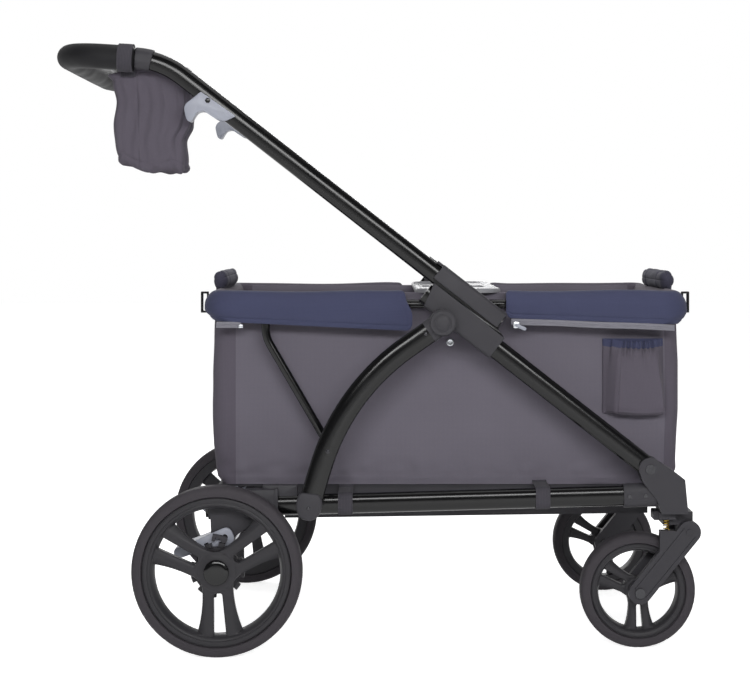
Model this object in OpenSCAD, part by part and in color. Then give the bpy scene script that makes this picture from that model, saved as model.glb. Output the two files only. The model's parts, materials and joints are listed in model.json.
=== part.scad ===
// Folding stroller wagon: a fabric tub on a tubular frame with a push handle, big rear wheels
// and sprung front casters. X runs from the handle end (-) to the caster end (+), Z is up and
// Z = 0 is the ground. The right side is at -Y. Lengths are in millimetres.

/* [Rear wheels] */
// Outer radius of a rear wheel
rear_wheel_r = 150; // [140:1:158]
// Width of a rear tyre
rear_wheel_w = 42; // [34:1:44]
// Height of the rear tyre's section
rear_tyre_h = 19; // [14:1:24]
// Radial depth of the rear rim ring
rear_rim_h = 21; // [14:1:26]
// Distance of the rear axle behind the middle
rear_axle_back = 277; // [270:1:284]
// Radius of the rear axle
rear_axle_r = 8; // [6:0.5:10]
// Radius of a hub cap
hub_cap_r = 22; // [18:1:25]
// Number of notches in the brake ring
brake_notches = 12; // [8:4:16]

/* [Front wheels] */
// Outer radius of a front wheel
front_wheel_r = 103; // [95:1:106]
// Width of a front tyre
front_wheel_w = 40; // [32:1:42]
// Height of the front tyre's section
front_tyre_h = 18.5; // [14:0.5:22]
// Radial depth of the front rim ring
front_rim_h = 14.5; // [10:0.5:18]
// Distance of the front wheel's centre inside the axis of the frame tubes
caster_inset = 34.5; // [30.5:0.5:38.5]
// Distance of the swivel axis ahead of the middle
swivel_x = 540; // [536:1:544]
// Trail of the front axle behind the swivel axis
caster_trail = 70; // [60:1:74]
// Radius of the front axle bolt
front_axle_r = 5; // [4:0.5:6]
// Half width of a caster arm
caster_arm_r = 20; // [17:0.5:21]
// Thickness of a caster arm
caster_arm_t = 14; // [10:1:16]
// Wire thickness of the caster spring
spring_wire = 2; // [1.5:0.1:2.4]
// Mean radius of the caster spring
spring_r = 5; // [4.5:0.1:5.6]
// Curls of the caster spring
spring_curls = 4; // [3:1:5]

/* [Frame tubes] */
// Gap between the covers and the frame tubes
side_gap = 4.5; // [2:0.5:6]
// Width of the frame tubes across the wagon
tube_w = 24; // [20:0.5:25]
// Wall of the frame tubes
tube_wall = 1.5; // [1:0.1:2.5]
// Height of a base rail
rail_h = 36; // [30:1:38]
// Height of a rail's axis at its rear end
rail_rear_z = 255.4; // [252:0.5:258]
// Rise of the rails towards the front, in degrees
rail_rise = 1.6; // [1:0.1:2]
// Height of a diagonal tube
diagonal_h = 36; // [30:1:37]
// Slope of the diagonals, in degrees
diagonal_slope = 38; // [37:0.5:39]
// Length of a diagonal above its pivot
diagonal_len = 505; // [503:1:512]
// Height of the oval brace tube
brace_h = 40; // [34:1:41]
// Width of the brace tube across the wagon
brace_w = 23; // [18:1:23]
// Radius of the bend of the brace
brace_bend_r = 396; // [380:2:410]
// Radius of the hinge knob of the brace
knob_r = 24; // [21:1:26]
// Radius of the strut tube
strut_r = 7.5; // [6:0.5:8]
// Radius of the bend of the strut
strut_bend_r = 60; // [40:5:90]
// Radius of the rim tube
rim_tube_r = 8; // [6:0.5:8.5]
// Bend radius of the rim's corners
rim_corner_r = 40; // [30:1:50]
// Radius of the cross tubes
cross_r = 9; // [7:0.5:10]

/* [Handle] */
// Height of a push tube
push_h = 34; // [28:1:35]
// Distance of the push tube's axis above the diagonal's axis
push_above = 38; // [37.5:0.5:42]
// Distance along the diagonal from its pivot to the push tube's lower end
push_start = 366; // [362:1:372]
// Distance along the diagonal to the corner of the handle's bend
push_corner = 1128; // [1110:1:1140]
// Radius of the handle's bend
push_bend_r = 150; // [120:5:170]
// Rise of the grip towards its end, in degrees
grip_rise = 3.5; // [2:0.5:5]
// Radius of the grip
grip_r = 22.5; // [20:0.5:23]
// Radius of the steel bar inside the grip
bar_r = 12; // [10:0.5:12]
// Bend radius of the grip's corners
grip_corner_r = 70; // [60:1:80]
// Distance from the bend's corner to the middle of the cross grip
grip_reach = 176; // [170:1:182]
// Length of the collar between the push tube and the grip
collar_len = 30; // [24:1:36]
// Thickness of the collar around the tube
collar_t = 3; // [2:0.5:4]
// Distance of the lever's pivot below the corner of the handle's bend
lever_below = 111; // [105:1:118]

/* [Slider] */
// Wall of the slider's sleeves
sleeve_wall = 2.6; // [2:0.1:3]
// Running clearance of the sleeves around the tubes
sleeve_gap = 0.4; // [0.3:0.1:0.6]
// Length of the lower sleeve
lower_sleeve_len = 156; // [140:1:158]
// Length of the upper sleeve
upper_sleeve_len = 148; // [130:1:150]

/* [Tub] */
// Rear end of the fabric tub
tub_rear = 290; // [286:1:292]
// Front end of the fabric tub
tub_front = 545; // [540:1:548]
// Half width of the fabric tub
tub_half_w = 206; // [202:1:207]
// Thickness of the fabric wall
tub_wall = 6; // [4:0.5:8]
// Height of the tub's underside
tub_bottom = 286.3; // [284:0.1:290]
// Height of the rim tube's axis
rim_z = 614; // [606:1:618]
// Corner radius of the tub
tub_corner_r = 28; // [16:1:30]
// Height of the top of the covers
cover_top = 640; // [638:1:648]
// Thickness of the covers
cover_t = 6; // [4:0.5:6.5]
// Gap between the struts and the cover's flap
cover_gap = 2.5; // [1:0.5:3]
// Radius of a rolled end flap
roll_r = 19; // [14:1:21]
// Half length of a rolled end flap
roll_half = 150; // [75:5:155]
// Thickness of the floor mat
mat_t = 22; // [14:1:30]

/* [Snack tray] */
// Rear edge of the tray
tray_x = 72; // [70:1:80]
// Length of the tray along the wagon
tray_len = 156; // [140:1:158]
// Radius of a cup well
cup_r = 38; // [34:0.5:42]
// Depth of a cup well below the tray's top
cup_depth = 54; // [40:1:60]
// Wall of the tray
tray_wall = 3; // [2:0.5:4]

/* [Cup bag and pocket] */
// Length of the cup bag along the handle
bag_len = 138; // [120:1:140]
// Width of the cup bag
bag_w = 108; // [90:1:120]
// Height of the cup bag
bag_h = 178; // [150:1:190]
// Wall of the cup bag and of the side pocket
bag_wall = 3; // [2:0.5:4]
// Length of the side pocket
pocket_len = 117; // [100:1:124]
// Height of the side pocket
pocket_h = 133; // [110:1:140]
// Depth of the side pocket
pocket_d = 32; // [20:1:34]

/* [Clearances] */
// Gap between pieces that lie side by side
gap = 0.3; // [0.2:0.05:0.5]
// Radial play of a turning fit
play = 0.05; // [0.02:0.01:0.1]

/* [Hidden] */
$fn = 64;
right = -1;
left = 1;
both = [right, left];
black = "#1b1b1d";
charcoal = "#2c2c2f";
rubber = "#232325";
fabric = "#5f5b62";
navy = "#3c4164";
pale = "#b5bac4";
webbing = "#3a393d";

// Layers across the wagon, from the tub outwards: rim, struts, covers and frame tubes
rim_gap = 4;
strut_gap = 2.5;
rim_y = tub_half_w + rim_gap + rim_tube_r;
strut_y = rim_y + rim_tube_r + strut_gap + strut_r;
cover_in = strut_y + strut_r + cover_gap;
cover_y = cover_in + cover_t;
side_y = cover_y + side_gap + tube_w / 2;
front_wheel_y = side_y - caster_inset;

// Side faces of the frame tubes
side_out = -side_y - tube_w / 2;
side_in = -side_y + tube_w / 2;
sleeve_half_w = tube_w / 2 + sleeve_gap + sleeve_wall;

// Base rails
rail_x0 = -300;
rail_x1 = 480;
rail_len = (rail_x1 - rail_x0) / cos(rail_rise);
function rail_z(x) = rail_rear_z + (x - rail_x0) * tan(rail_rise);

// Pivots in the XZ plane: brace foot, brace head, diagonal foot and strut foot
brace_foot = [-117, rail_z(-117)];
diagonal_foot = [486, 325];
hinge_t = 449.8;
hinge_drop = 22.1;
strut_foot = [-83, 360];
strut_top = [-197, 600];
strut_knee_z = 556;
function diag(t, p) = diagonal_foot
    + [-t * cos(diagonal_slope) + p * sin(diagonal_slope), t * sin(diagonal_slope) + p * cos(diagonal_slope)];
brace_head = diag(hinge_t, -hinge_drop);

// Layers outside the frame tubes
brace_gap = 2.5;
brace_in = -side_y - sleeve_half_w - brace_gap;
brace_y = brace_in - brace_w / 2;
brace_out = brace_in - brace_w;
knob_out = brace_out - 9;

// Wheels
rear_wheel_y = -side_out + 2.5 + rear_wheel_w / 2;
rear_hub = [-rear_axle_back, rear_wheel_r];
front_hub = [swivel_x - caster_trail, front_wheel_r];
caster_pivot = [swivel_x + 18, 211];
caster_reach = norm(caster_pivot - front_hub);
caster_angle = atan2(caster_pivot[1] - front_hub[1], caster_pivot[0] - front_hub[0]);
caster_side_gap = 4;
arm_in = front_wheel_w / 2 + caster_side_gap;
arm_out = arm_in + caster_arm_t;
head_half_w = arm_in - 0.5;
head_top = 245.4;
casting_bottom = head_top + 0.6;
stem_r = 8;
stem_len = 40;
pivot_bolt_r = 6;

// Brake
brake_pivot = [-266, 203];
brake_rod_r = 5;
brake_ring_r = 48;
brake_ring_in = 40;
brake_notch_w = 13;

// Tub and rim
floor_top = tub_bottom - gap;
tray_plate_t = 4;
cross_z = floor_top - tray_plate_t - gap - cross_r;
cross_x = [-190, 400];
rim_end_gap = 0.5;
rim_x = [-tub_rear - rim_end_gap - rim_tube_r, tub_front + rim_end_gap + rim_tube_r];
cover_under = cover_top - cover_t;
tub_top = cover_under - gap;
rear_cover = [-297, 66];
front_cover = [234, 549];
rear_cover_low = [cover_top - 55, cover_top - 73];
front_cover_low = [cover_top - 50, cover_top - 62];
zip_h = 11;
zip_t = 2;
zip_inset = 2;
zip_slope = atan2(front_cover_low[0] - front_cover_low[1], front_cover[1] - front_cover[0]);

// Handle
push_axis = push_above;
corner_tangent = push_bend_r * tan((diagonal_slope - grip_rise) / 2);
corner_point = diag(push_corner, push_axis);
grip_start = corner_point + corner_tangent * [-cos(grip_rise), sin(grip_rise)];
bend_centre = diag(push_corner - corner_tangent, push_axis - push_bend_r);
grip_straight = grip_reach - corner_tangent - grip_corner_r;
lever_t = push_corner - lever_below;
lever_drop = 6;

// A bend is a hair slimmer than the straight runs it joins, so the seam is a clean step
bend_fit = 0.985;

// Shapes shared by several pieces

// Puts a piece of the right side on the given side
module on_side(s) {
    if (s == right) children();
    else mirror([0, 1, 0]) children();
}

// Carries an outline in the XZ plane from y0 to y1
module across(y0, y1) {
    translate([0, y1, 0]) rotate([90, 0, 0]) linear_extrude(y1 - y0) children();
}

// Round bar across the wagon through a point in the XZ plane
module crossbar(p, r, y0, y1) {
    translate([p[0], y1, p[1]]) rotate([90, 0, 0]) cylinder(r = r, h = y1 - y0);
}

// Carries a section along a straight line from a point in the XZ plane, angle from +X to +Z
module straight(p, y, angle, len) {
    translate([p[0], y, p[1]]) rotate([0, -angle, 0]) rotate([90, 0, 90]) linear_extrude(len) children();
}

// Carries a section, height along its x, round a centre in the XZ plane
module bend(centre, y, r, start, sweep) {
    translate([centre[0], y, centre[1]]) rotate([90, 0, 0]) rotate([0, 0, start])
        rotate_extrude(angle = sweep) translate([r, 0]) rotate(90) scale(bend_fit) children();
}

// Upright oval, w wide and h high
module oval(w, h) {
    for (e = [-1, 1]) translate([0, e * (h - w) / 2]) circle(d = w);
    square([w, h - w], center = true);
}

module oval_tube(w, h, wall) {
    difference() {
        oval(w, h);
        oval(w - 2 * wall, h - 2 * wall);
    }
}

// Rectangle with round corners, from corner a to corner b
module round_rect(a, b, r) {
    translate([a[0] + r, a[1]]) square([b[0] - a[0] - 2 * r, b[1] - a[1]]);
    translate([a[0], a[1] + r]) square([b[0] - a[0], b[1] - a[1] - 2 * r]);
    for (x = [a[0] + r, b[0] - r], y = [a[1] + r, b[1] - r]) translate([x, y]) circle(r = r);
}

// Frame of the right diagonal: x runs down the tube, z is square to it, origin at its foot
module along_diagonal() {
    translate([diagonal_foot[0], 0, diagonal_foot[1]]) rotate([0, diagonal_slope, 0]) children();
}

// Base frame

module base_rail(s) color(black) on_side(s) {
    straight([rail_x0, rail_rear_z], -side_y, rail_rise, rail_len)
        oval_tube(tube_w, rail_h, tube_wall);
}

casting_out_wall = 4.5;
casting_in_wall = 0.3;
casting_y0 = -side_y - sleeve_half_w - casting_out_wall;
casting_y1 = -side_y + sleeve_half_w + casting_in_wall;
casting_inner = -front_wheel_y + 22;
ear_r = 20.3;
ear_slot_r = 24;
casting_sleeve_x = 440;

module casting_outline() {
    translate(diagonal_foot) circle(r = ear_r);
    polygon([[472, 303], [485, 287], [497, 271], [507, casting_bottom], [552.6, casting_bottom],
        [547, 306.5], [524, 324], diagonal_foot + [4, ear_r - 0.5], diagonal_foot - [ear_r - 0.5, 3]]);
}

module front_casting(s) color(charcoal) on_side(s) difference() {
    union() {
        across(casting_y0, casting_y1) casting_outline();
        across(casting_y1 - 1, casting_inner)
            polygon([[507, casting_bottom], [552.6, casting_bottom], [549, 290], [511, 290]]);
        straight([casting_sleeve_x, rail_z(casting_sleeve_x)], -side_y, rail_rise, 58)
            oval(2 * sleeve_half_w, rail_h + 2 * (sleeve_gap + sleeve_wall));
    }
    across(side_out - 0.5, side_in + 0.5) {
        translate(diagonal_foot) circle(r = ear_slot_r);
        translate([420, diagonal_foot[1] - ear_slot_r]) square([diagonal_foot[0] - 420, 70]);
    }
    straight([casting_sleeve_x - 1, rail_z(casting_sleeve_x - 1)], -side_y, rail_rise,
        rail_x1 - casting_sleeve_x + 1.5)
        oval(tube_w + 2 * gap, rail_h + 2 * gap);
    crossbar(diagonal_foot, pivot_bolt_r, casting_y0 - 1, casting_y1 + 1);
    translate([swivel_x, -front_wheel_y, casting_bottom - 1]) cylinder(r = stem_r + play, h = stem_len + 2);
}

module cross_tubes() color(black) for (x = cross_x) difference() {
    crossbar([x, cross_z], cross_r, side_in, -side_in);
    crossbar([x, cross_z], cross_r - tube_wall, side_in - 1, -side_in + 1);
}

leg_out = side_out - 1.2;
leg_in = side_in + 1.2;
leg_boss_r = 20;

module rear_leg(s) color(black) on_side(s) difference() {
    union() {
        straight([-296, rail_z(-296)], -side_y, rail_rise, 92) oval(tube_w + 2.4, rail_h + 7);
        across(leg_out + 0.6, leg_in - 0.6) {
            polygon([[-292, 250], [-208, 250], [-222, 226], [-248, 205], [rear_hub[0] + leg_boss_r, rear_hub[1]],
                [rear_hub[0] - leg_boss_r, rear_hub[1]], [-290, 200]]);
            translate(rear_hub) circle(r = leg_boss_r);
        }
    }
    straight([-301, rail_z(-301)], -side_y, rail_rise, 102) oval(tube_w + 2 * gap, rail_h + 2 * gap);
    crossbar(rear_hub, rear_axle_r, leg_out - 1, leg_in + 1);
    crossbar(brake_pivot, brake_rod_r + play, leg_out - 1, leg_in + 1);
}

axle_end = rear_wheel_y + rear_wheel_w / 2 - 6;

module rear_axle() color("silver") difference() {
    crossbar(rear_hub, rear_axle_r, -axle_end, axle_end);
    crossbar(rear_hub, rear_axle_r - 2, -axle_end - 1, axle_end + 1);
}

skirt_x = [-165, 495];
skirt_t = 3;
skirt_low = 224;

module floor_tray() color(charcoal) {
    translate([-tub_rear + 5, -tub_half_w + 7, floor_top - tray_plate_t])
        cube([tub_front + tub_rear - 10, 2 * tub_half_w - 14, tray_plate_t]);
    for (s = both) on_side(s) difference() {
        across(-tub_half_w + 9, -tub_half_w + 9 + skirt_t)
            polygon([[skirt_x[0], skirt_low], [skirt_x[1], skirt_low + 9], [skirt_x[1], floor_top - 1],
                [skirt_x[0], floor_top - 1]]);
        for (x = cross_x) crossbar([x, cross_z], cross_r + gap, -tub_half_w, -tub_half_w + 20);
    }
}

// Soft pieces of the tub

module tub_plan(inset) {
    round_rect([-tub_rear + inset, -tub_half_w + inset], [tub_front - inset, tub_half_w - inset],
        tub_corner_r - inset);
}

module basket_shell() color(fabric) difference() {
    translate([0, 0, tub_bottom]) linear_extrude(tub_top - tub_bottom) tub_plan(0);
    translate([0, 0, tub_bottom + 3]) linear_extrude(tub_top) tub_plan(tub_wall);
}

mat_z = tub_bottom + 3 + gap;

module floor_mat() color(fabric) translate([0, 0, mat_z]) linear_extrude(mat_t) tub_plan(tub_wall + 4);

pocket_x = 407;
pocket_z = 417;

module side_pocket() color(fabric) difference() {
    across(-tub_half_w - gap - pocket_d, -tub_half_w - gap)
        translate([pocket_x, pocket_z]) square([pocket_len, pocket_h]);
    across(-tub_half_w - gap - pocket_d + bag_wall, -tub_half_w - gap - bag_wall)
        translate([pocket_x + bag_wall, pocket_z + bag_wall]) square([pocket_len - 2 * bag_wall, pocket_h]);
}

strap_w = 26;
strap_t = 1.5;
strap_at = [-66, 284];

module rail_strap(x) {
    z = rail_z(x + strap_w / 2);
    h = rail_h + 2 * (gap + strap_t) + strap_w * tan(rail_rise);
    straight([x, z], -side_y, 0, strap_w) oval_tube(tube_w + 2 * (gap + strap_t), h, strap_t);
    translate([x, -side_y, z + h / 2 - strap_t]) cube([strap_w, side_y - tub_half_w - gap, strap_t]);
    translate([x, -tub_half_w - gap - strap_t, z + h / 2 - strap_t]) cube([strap_w, strap_t, 24]);
}

module rail_straps() color(webbing) for (s = both, x = strap_at) on_side(s) rail_strap(x);

rivet_r = 4;
rivet_h = 1.8;

module frame_rivets() color("dimgray") for (s = both) on_side(s) {
    for (x = [450, 478])
        crossbar([x, rail_z(x)], rivet_r, -side_y - sleeve_half_w - rivet_h, -side_y - sleeve_half_w);
    crossbar(diagonal_foot, pivot_bolt_r, casting_y0, casting_y1);
    crossbar(diagonal_foot, pivot_bolt_r + 3, casting_y0 - rivet_h, casting_y0);
    crossbar(brace_foot, brace_pivot_r, brace_boss_out - gap, side_out);
    crossbar(brace_foot, brace_pivot_r + 3, brace_boss_out - gap - rivet_h, brace_boss_out - gap);
}

harness_w = 25;
harness_t = 2;
harness_y = 48;

module harness_straps() color(webbing) for (end = [[-tub_rear + tub_wall + gap, 1], [tub_front - tub_wall - gap, -1]],
    y = [-harness_y, harness_y]) {
    translate([end[0] + (end[1] - 1) * harness_t / 2, y - harness_w / 2, mat_z + mat_t + gap])
        cube([harness_t, harness_w, 220]);
    translate([end[0] + (end[1] - 1) * 45, y - harness_w / 2, mat_z + mat_t + gap])
        cube([90, harness_w, harness_t]);
}

// Wheels

// Ring about the Y axis from a section with its radius along x
module about_axle(hub, y) {
    translate([hub[0], y, hub[1]]) rotate([90, 0, 0]) rotate_extrude() children();
}

module tyre(hub, y, r, h, w) {
    about_axle(hub, y) difference() {
        round_rect([r - 2 * h, -w / 2], [r, w / 2], h * 0.45);
        translate([r - 3 * h, -w]) square([2 * h, 2 * w]);
    }
}

// Outline of one pair of spokes towards +X, with the slot between them
module spoke_pair(r0, r1, w0, w1, slot0, slot1, slot_w0, slot_w1) {
    difference() {
        polygon([[r0, -w0 / 2], [r1, -w1 / 2], [r1, w1 / 2], [r0, w0 / 2]]);
        polygon([[slot0, -slot_w0 / 2], [slot1, -slot_w1 / 2], [slot1, slot_w1 / 2], [slot0, slot_w0 / 2]]);
    }
}

rear_rim_r = rear_wheel_r - rear_tyre_h;
front_rim_r = front_wheel_r - front_tyre_h;
rear_hub_r = 27;
front_hub_r = 17;

module rear_rim(s) color(black) on_side(s) difference() {
    union() {
        about_axle(rear_hub, -rear_wheel_y) {
            translate([rear_rim_r - rear_rim_h, -rear_wheel_w / 2 + 5])
                square([rear_rim_h, rear_wheel_w - 10]);
            translate([0, -rear_wheel_w / 2 + 8]) square([rear_hub_r, rear_wheel_w - 10]);
            translate([0, -rear_wheel_w / 2 + 8]) square([brake_ring_r, 10]);
        }
        across(-rear_wheel_y - rear_wheel_w / 2 + 8, -rear_wheel_y + rear_wheel_w / 2 - 16) translate(rear_hub)
            for (a = [30, 150, 270]) rotate(a)
                spoke_pair(rear_hub_r - 8, rear_rim_r - rear_rim_h + 4, 54, 82, 42, rear_rim_r - rear_rim_h - 2, 14, 22);
    }
    crossbar(rear_hub, rear_axle_r + play, -rear_wheel_y - rear_wheel_w, -rear_wheel_y + rear_wheel_w);
    across(-rear_wheel_y + rear_wheel_w / 2 - 18.5, -rear_wheel_y + rear_wheel_w / 2 - 7) translate(rear_hub)
        for (i = [0 : brake_notches - 1]) rotate(notch_angle + i * 360 / brake_notches)
            translate([brake_ring_in, -brake_notch_w / 2]) square([brake_ring_r, brake_notch_w]);
}

module rear_tyre(s) color(rubber) on_side(s)
    tyre(rear_hub, -rear_wheel_y, rear_wheel_r, rear_tyre_h, rear_wheel_w);

module hub_cap(s) color(charcoal) on_side(s) difference() {
    about_axle(rear_hub, -rear_wheel_y) translate([0, rear_wheel_w / 2 - 2]) {
        square([hub_cap_r, 4]);
        square([hub_cap_r - 4, 6]);
    }
    crossbar(rear_hub, 10, -rear_wheel_y - rear_wheel_w / 2 - 10, -rear_wheel_y - rear_wheel_w / 2 - 3);
}

module front_rim(s) color(black) on_side(s) difference() {
    union() {
        about_axle(front_hub, -front_wheel_y) {
            translate([front_rim_r - front_rim_h, -front_wheel_w / 2 + 5])
                square([front_rim_h, front_wheel_w - 10]);
            translate([0, -front_wheel_w / 2 - 1]) square([front_hub_r, front_wheel_w + 2]);
        }
        across(-front_wheel_y - 10, -front_wheel_y + 10) translate(front_hub)
            for (a = [30, 150, 270]) rotate(a)
                spoke_pair(front_hub_r - 6, front_rim_r - front_rim_h + 4, 36, 52, 26, front_rim_r - front_rim_h - 2, 8, 12);
    }
    crossbar(front_hub, front_axle_r + play, -front_wheel_y - front_wheel_w, -front_wheel_y + front_wheel_w);
}

module front_tyre(s) color(rubber) on_side(s)
    tyre(front_hub, -front_wheel_y, front_wheel_r, front_tyre_h, front_wheel_w);

// Casters

spring_x = 517;
spring_seat_z = 214;
ledge_z = 234;

module caster_head(s) color(charcoal) on_side(s) difference() {
    union() {
        across(-front_wheel_y - head_half_w, -front_wheel_y + head_half_w) {
            translate([513, 222]) square([caster_pivot[0] + 8 - 513, head_top - 222]);
            translate(caster_pivot) circle(r = 17);
            translate([caster_pivot[0] - 15, caster_pivot[1]]) square([23, 20]);
        }
        across(-front_wheel_y - arm_out, -front_wheel_y - head_half_w + 1)
            translate([505, ledge_z]) square([28, head_top - ledge_z]);
        translate([swivel_x, -front_wheel_y, head_top - 1]) cylinder(r = stem_r, h = stem_len);
    }
    crossbar(caster_pivot, pivot_bolt_r + play, -front_wheel_y - 50, -front_wheel_y + 50);
}

module arm_outline() {
    translate(front_hub) rotate(caster_angle) {
        translate([0, -caster_arm_r]) square([caster_reach, 2 * caster_arm_r]);
        circle(r = caster_arm_r);
        translate([caster_reach, 0]) circle(r = caster_arm_r);
    }
}

module caster_arms(s) color(charcoal) on_side(s) {
    for (e = [-1, 1]) difference() {
        union() {
            across(-front_wheel_y + min(e * arm_in, e * arm_out), -front_wheel_y + max(e * arm_in, e * arm_out))
                arm_outline();
            if (e < 0) across(-front_wheel_y - arm_out, -front_wheel_y - arm_in)
                translate([505, 170]) square([28, spring_seat_z - 170]);
        }
        across(-front_wheel_y - arm_out - 1, -front_wheel_y - arm_out + 1.5) translate(front_hub) rotate(caster_angle)
            difference() {
                translate([0, -13]) square([caster_reach, 26]);
                translate([0, -11.5]) square([caster_reach, 23]);
            }
        crossbar(front_hub, front_axle_r, -front_wheel_y - 50, -front_wheel_y + 50);
    }
    crossbar(caster_pivot, pivot_bolt_r, -front_wheel_y - arm_out - 2, -front_wheel_y + arm_out + 2);
}

module front_axle(s) color("silver") on_side(s) {
    crossbar(front_hub, front_axle_r, -front_wheel_y - arm_out - 2, -front_wheel_y + arm_out + 2);
    for (e = [-1, 1])
        crossbar(front_hub, front_axle_r + 4, -front_wheel_y + e * (arm_out + 2) - 2, -front_wheel_y + e * (arm_out + 2) + 2);
}

// Spring wire: straight for one wire thickness at each end, then an even helix
curl_steps = 8;
wire_sides = 6;
spring_low = spring_seat_z + gap + spring_wire / 2;
spring_high = ledge_z - gap - spring_wire / 2;
spring_steps = spring_curls * curl_steps;
function helix_point(i) = let (a = i * 360 / curl_steps)
    [spring_r * cos(a), spring_r * sin(a), spring_low + (spring_high - spring_low) * i / spring_steps];
spring_path = concat(
    [helix_point(0) - [0, spring_wire, 0]],
    [for (i = [0 : spring_steps]) helix_point(i)],
    [helix_point(spring_steps) + [0, spring_wire, 0]]);
function unit(v) = v / norm(v);
function wire_ring(path, i) = let (
    n = len(path),
    d = unit(path[min(i + 1, n - 1)] - path[max(i - 1, 0)]),
    u = unit(cross(d, [0, 0, 1])),
    v = cross(d, u))
    [for (k = [0 : wire_sides - 1]) path[i]
        + spring_wire / 2 * (cos(k * 360 / wire_sides) * u + sin(k * 360 / wire_sides) * v)];
spring_turn_gap = min([for (i = [0 : spring_steps - curl_steps])
    norm(helix_point(i + curl_steps) - helix_point(i))]) - spring_wire;
echo(caster_spring_least_gap = spring_turn_gap);

module caster_spring(s) color("goldenrod") on_side(s) translate([spring_x, -front_wheel_y - arm_in - caster_arm_t / 2, 0]) {
    n = len(spring_path);
    m = wire_sides;
    polyhedron(
        points = [for (i = [0 : n - 1]) each wire_ring(spring_path, i)],
        faces = concat(
            [for (i = [0 : n - 2], k = [0 : m - 1]) [i * m + k, i * m + (k + 1) % m, (i + 1) * m + k]],
            [for (i = [0 : n - 2], k = [0 : m - 1]) [i * m + (k + 1) % m, (i + 1) * m + (k + 1) % m, (i + 1) * m + k]],
            [for (k = [1 : m - 2]) [0, k + 1, k]],
            [for (k = [1 : m - 2]) [(n - 1) * m, (n - 1) * m + k, (n - 1) * m + k + 1]]));
}

// Folding side frames

brace_low_angle = 73;
brace_high_angle = 35;
brace_chord = brace_bend_r * [sin(brace_low_angle) - sin(brace_high_angle), cos(brace_high_angle) - cos(brace_low_angle)];
brace_rest = brace_head - brace_foot - brace_chord;
brace_det = sin(brace_high_angle - brace_low_angle);
brace_low_len = (brace_rest[0] * sin(brace_high_angle) - brace_rest[1] * cos(brace_high_angle)) / brace_det;
brace_high_len = (cos(brace_low_angle) * brace_rest[1] - sin(brace_low_angle) * brace_rest[0]) / brace_det;
brace_bend_start = brace_foot + brace_low_len * [cos(brace_low_angle), sin(brace_low_angle)];
brace_bend_centre = brace_bend_start + brace_bend_r * [sin(brace_low_angle), -cos(brace_low_angle)];
brace_bend_end = brace_bend_start + brace_chord;
brace_pivot_r = 8;

module brace_section() {
    oval_tube(brace_w, brace_h, tube_wall);
}

brace_boss_r = brace_h / 2 + 0.6;
brace_boss_out = brace_out - 0.4;

module brace(s) color(black) on_side(s) difference() {
    union() {
        straight(brace_foot, brace_y, brace_low_angle, brace_low_len) brace_section();
        bend(brace_bend_centre, brace_y, brace_bend_r, 90 + brace_high_angle, brace_low_angle - brace_high_angle)
            brace_section();
        straight(brace_bend_end, brace_y, brace_high_angle, brace_high_len) brace_section();
        crossbar(brace_foot, brace_boss_r, brace_boss_out, brace_in + 0.4);
    }
    crossbar(brace_head, knob_r, brace_out - 1, brace_in + 1);
    crossbar(brace_foot, brace_pivot_r + play, brace_out - 1, brace_in + 1);
}

module brace_knobs() color(charcoal) for (s = both) on_side(s) {
    difference() {
        union() {
            crossbar(brace_head, knob_r, brace_out, brace_in);
            crossbar(brace_head, knob_r - 3, knob_out, brace_out);
        }
        crossbar(brace_head, knob_r - 8, knob_out - 1, knob_out + 2);
    }
    crossbar(brace_bend_end + 50 * [cos(brace_high_angle), sin(brace_high_angle)] , rivet_r, brace_out - rivet_h, brace_out);
    crossbar(strut_foot, rivet_r, brace_out - rivet_h, brace_out);
}

module diagonal(s) color(black) on_side(s) {
    difference() {
        along_diagonal() translate([-diagonal_len, -side_y, 0]) rotate([90, 0, 90])
            linear_extrude(diagonal_len + 15) oval_tube(tube_w, diagonal_h, tube_wall);
        crossbar(diagonal_foot, pivot_bolt_r + 4, side_out - 1, side_in + 1);
    }
    difference() {
        crossbar(diagonal_foot, pivot_bolt_r + 4, side_out, side_in);
        crossbar(diagonal_foot, pivot_bolt_r + play, side_out - 1, side_in + 1);
    }
}

lower_sleeve_h = diagonal_h + 2 * (sleeve_gap + sleeve_wall);
upper_sleeve_h = push_h + 2 * (sleeve_gap + sleeve_wall);
lower_sleeve_t = 501;
upper_sleeve_t = 510;
stub_r = 16;
groove_w = 7;
groove_d = 1.6;

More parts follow.
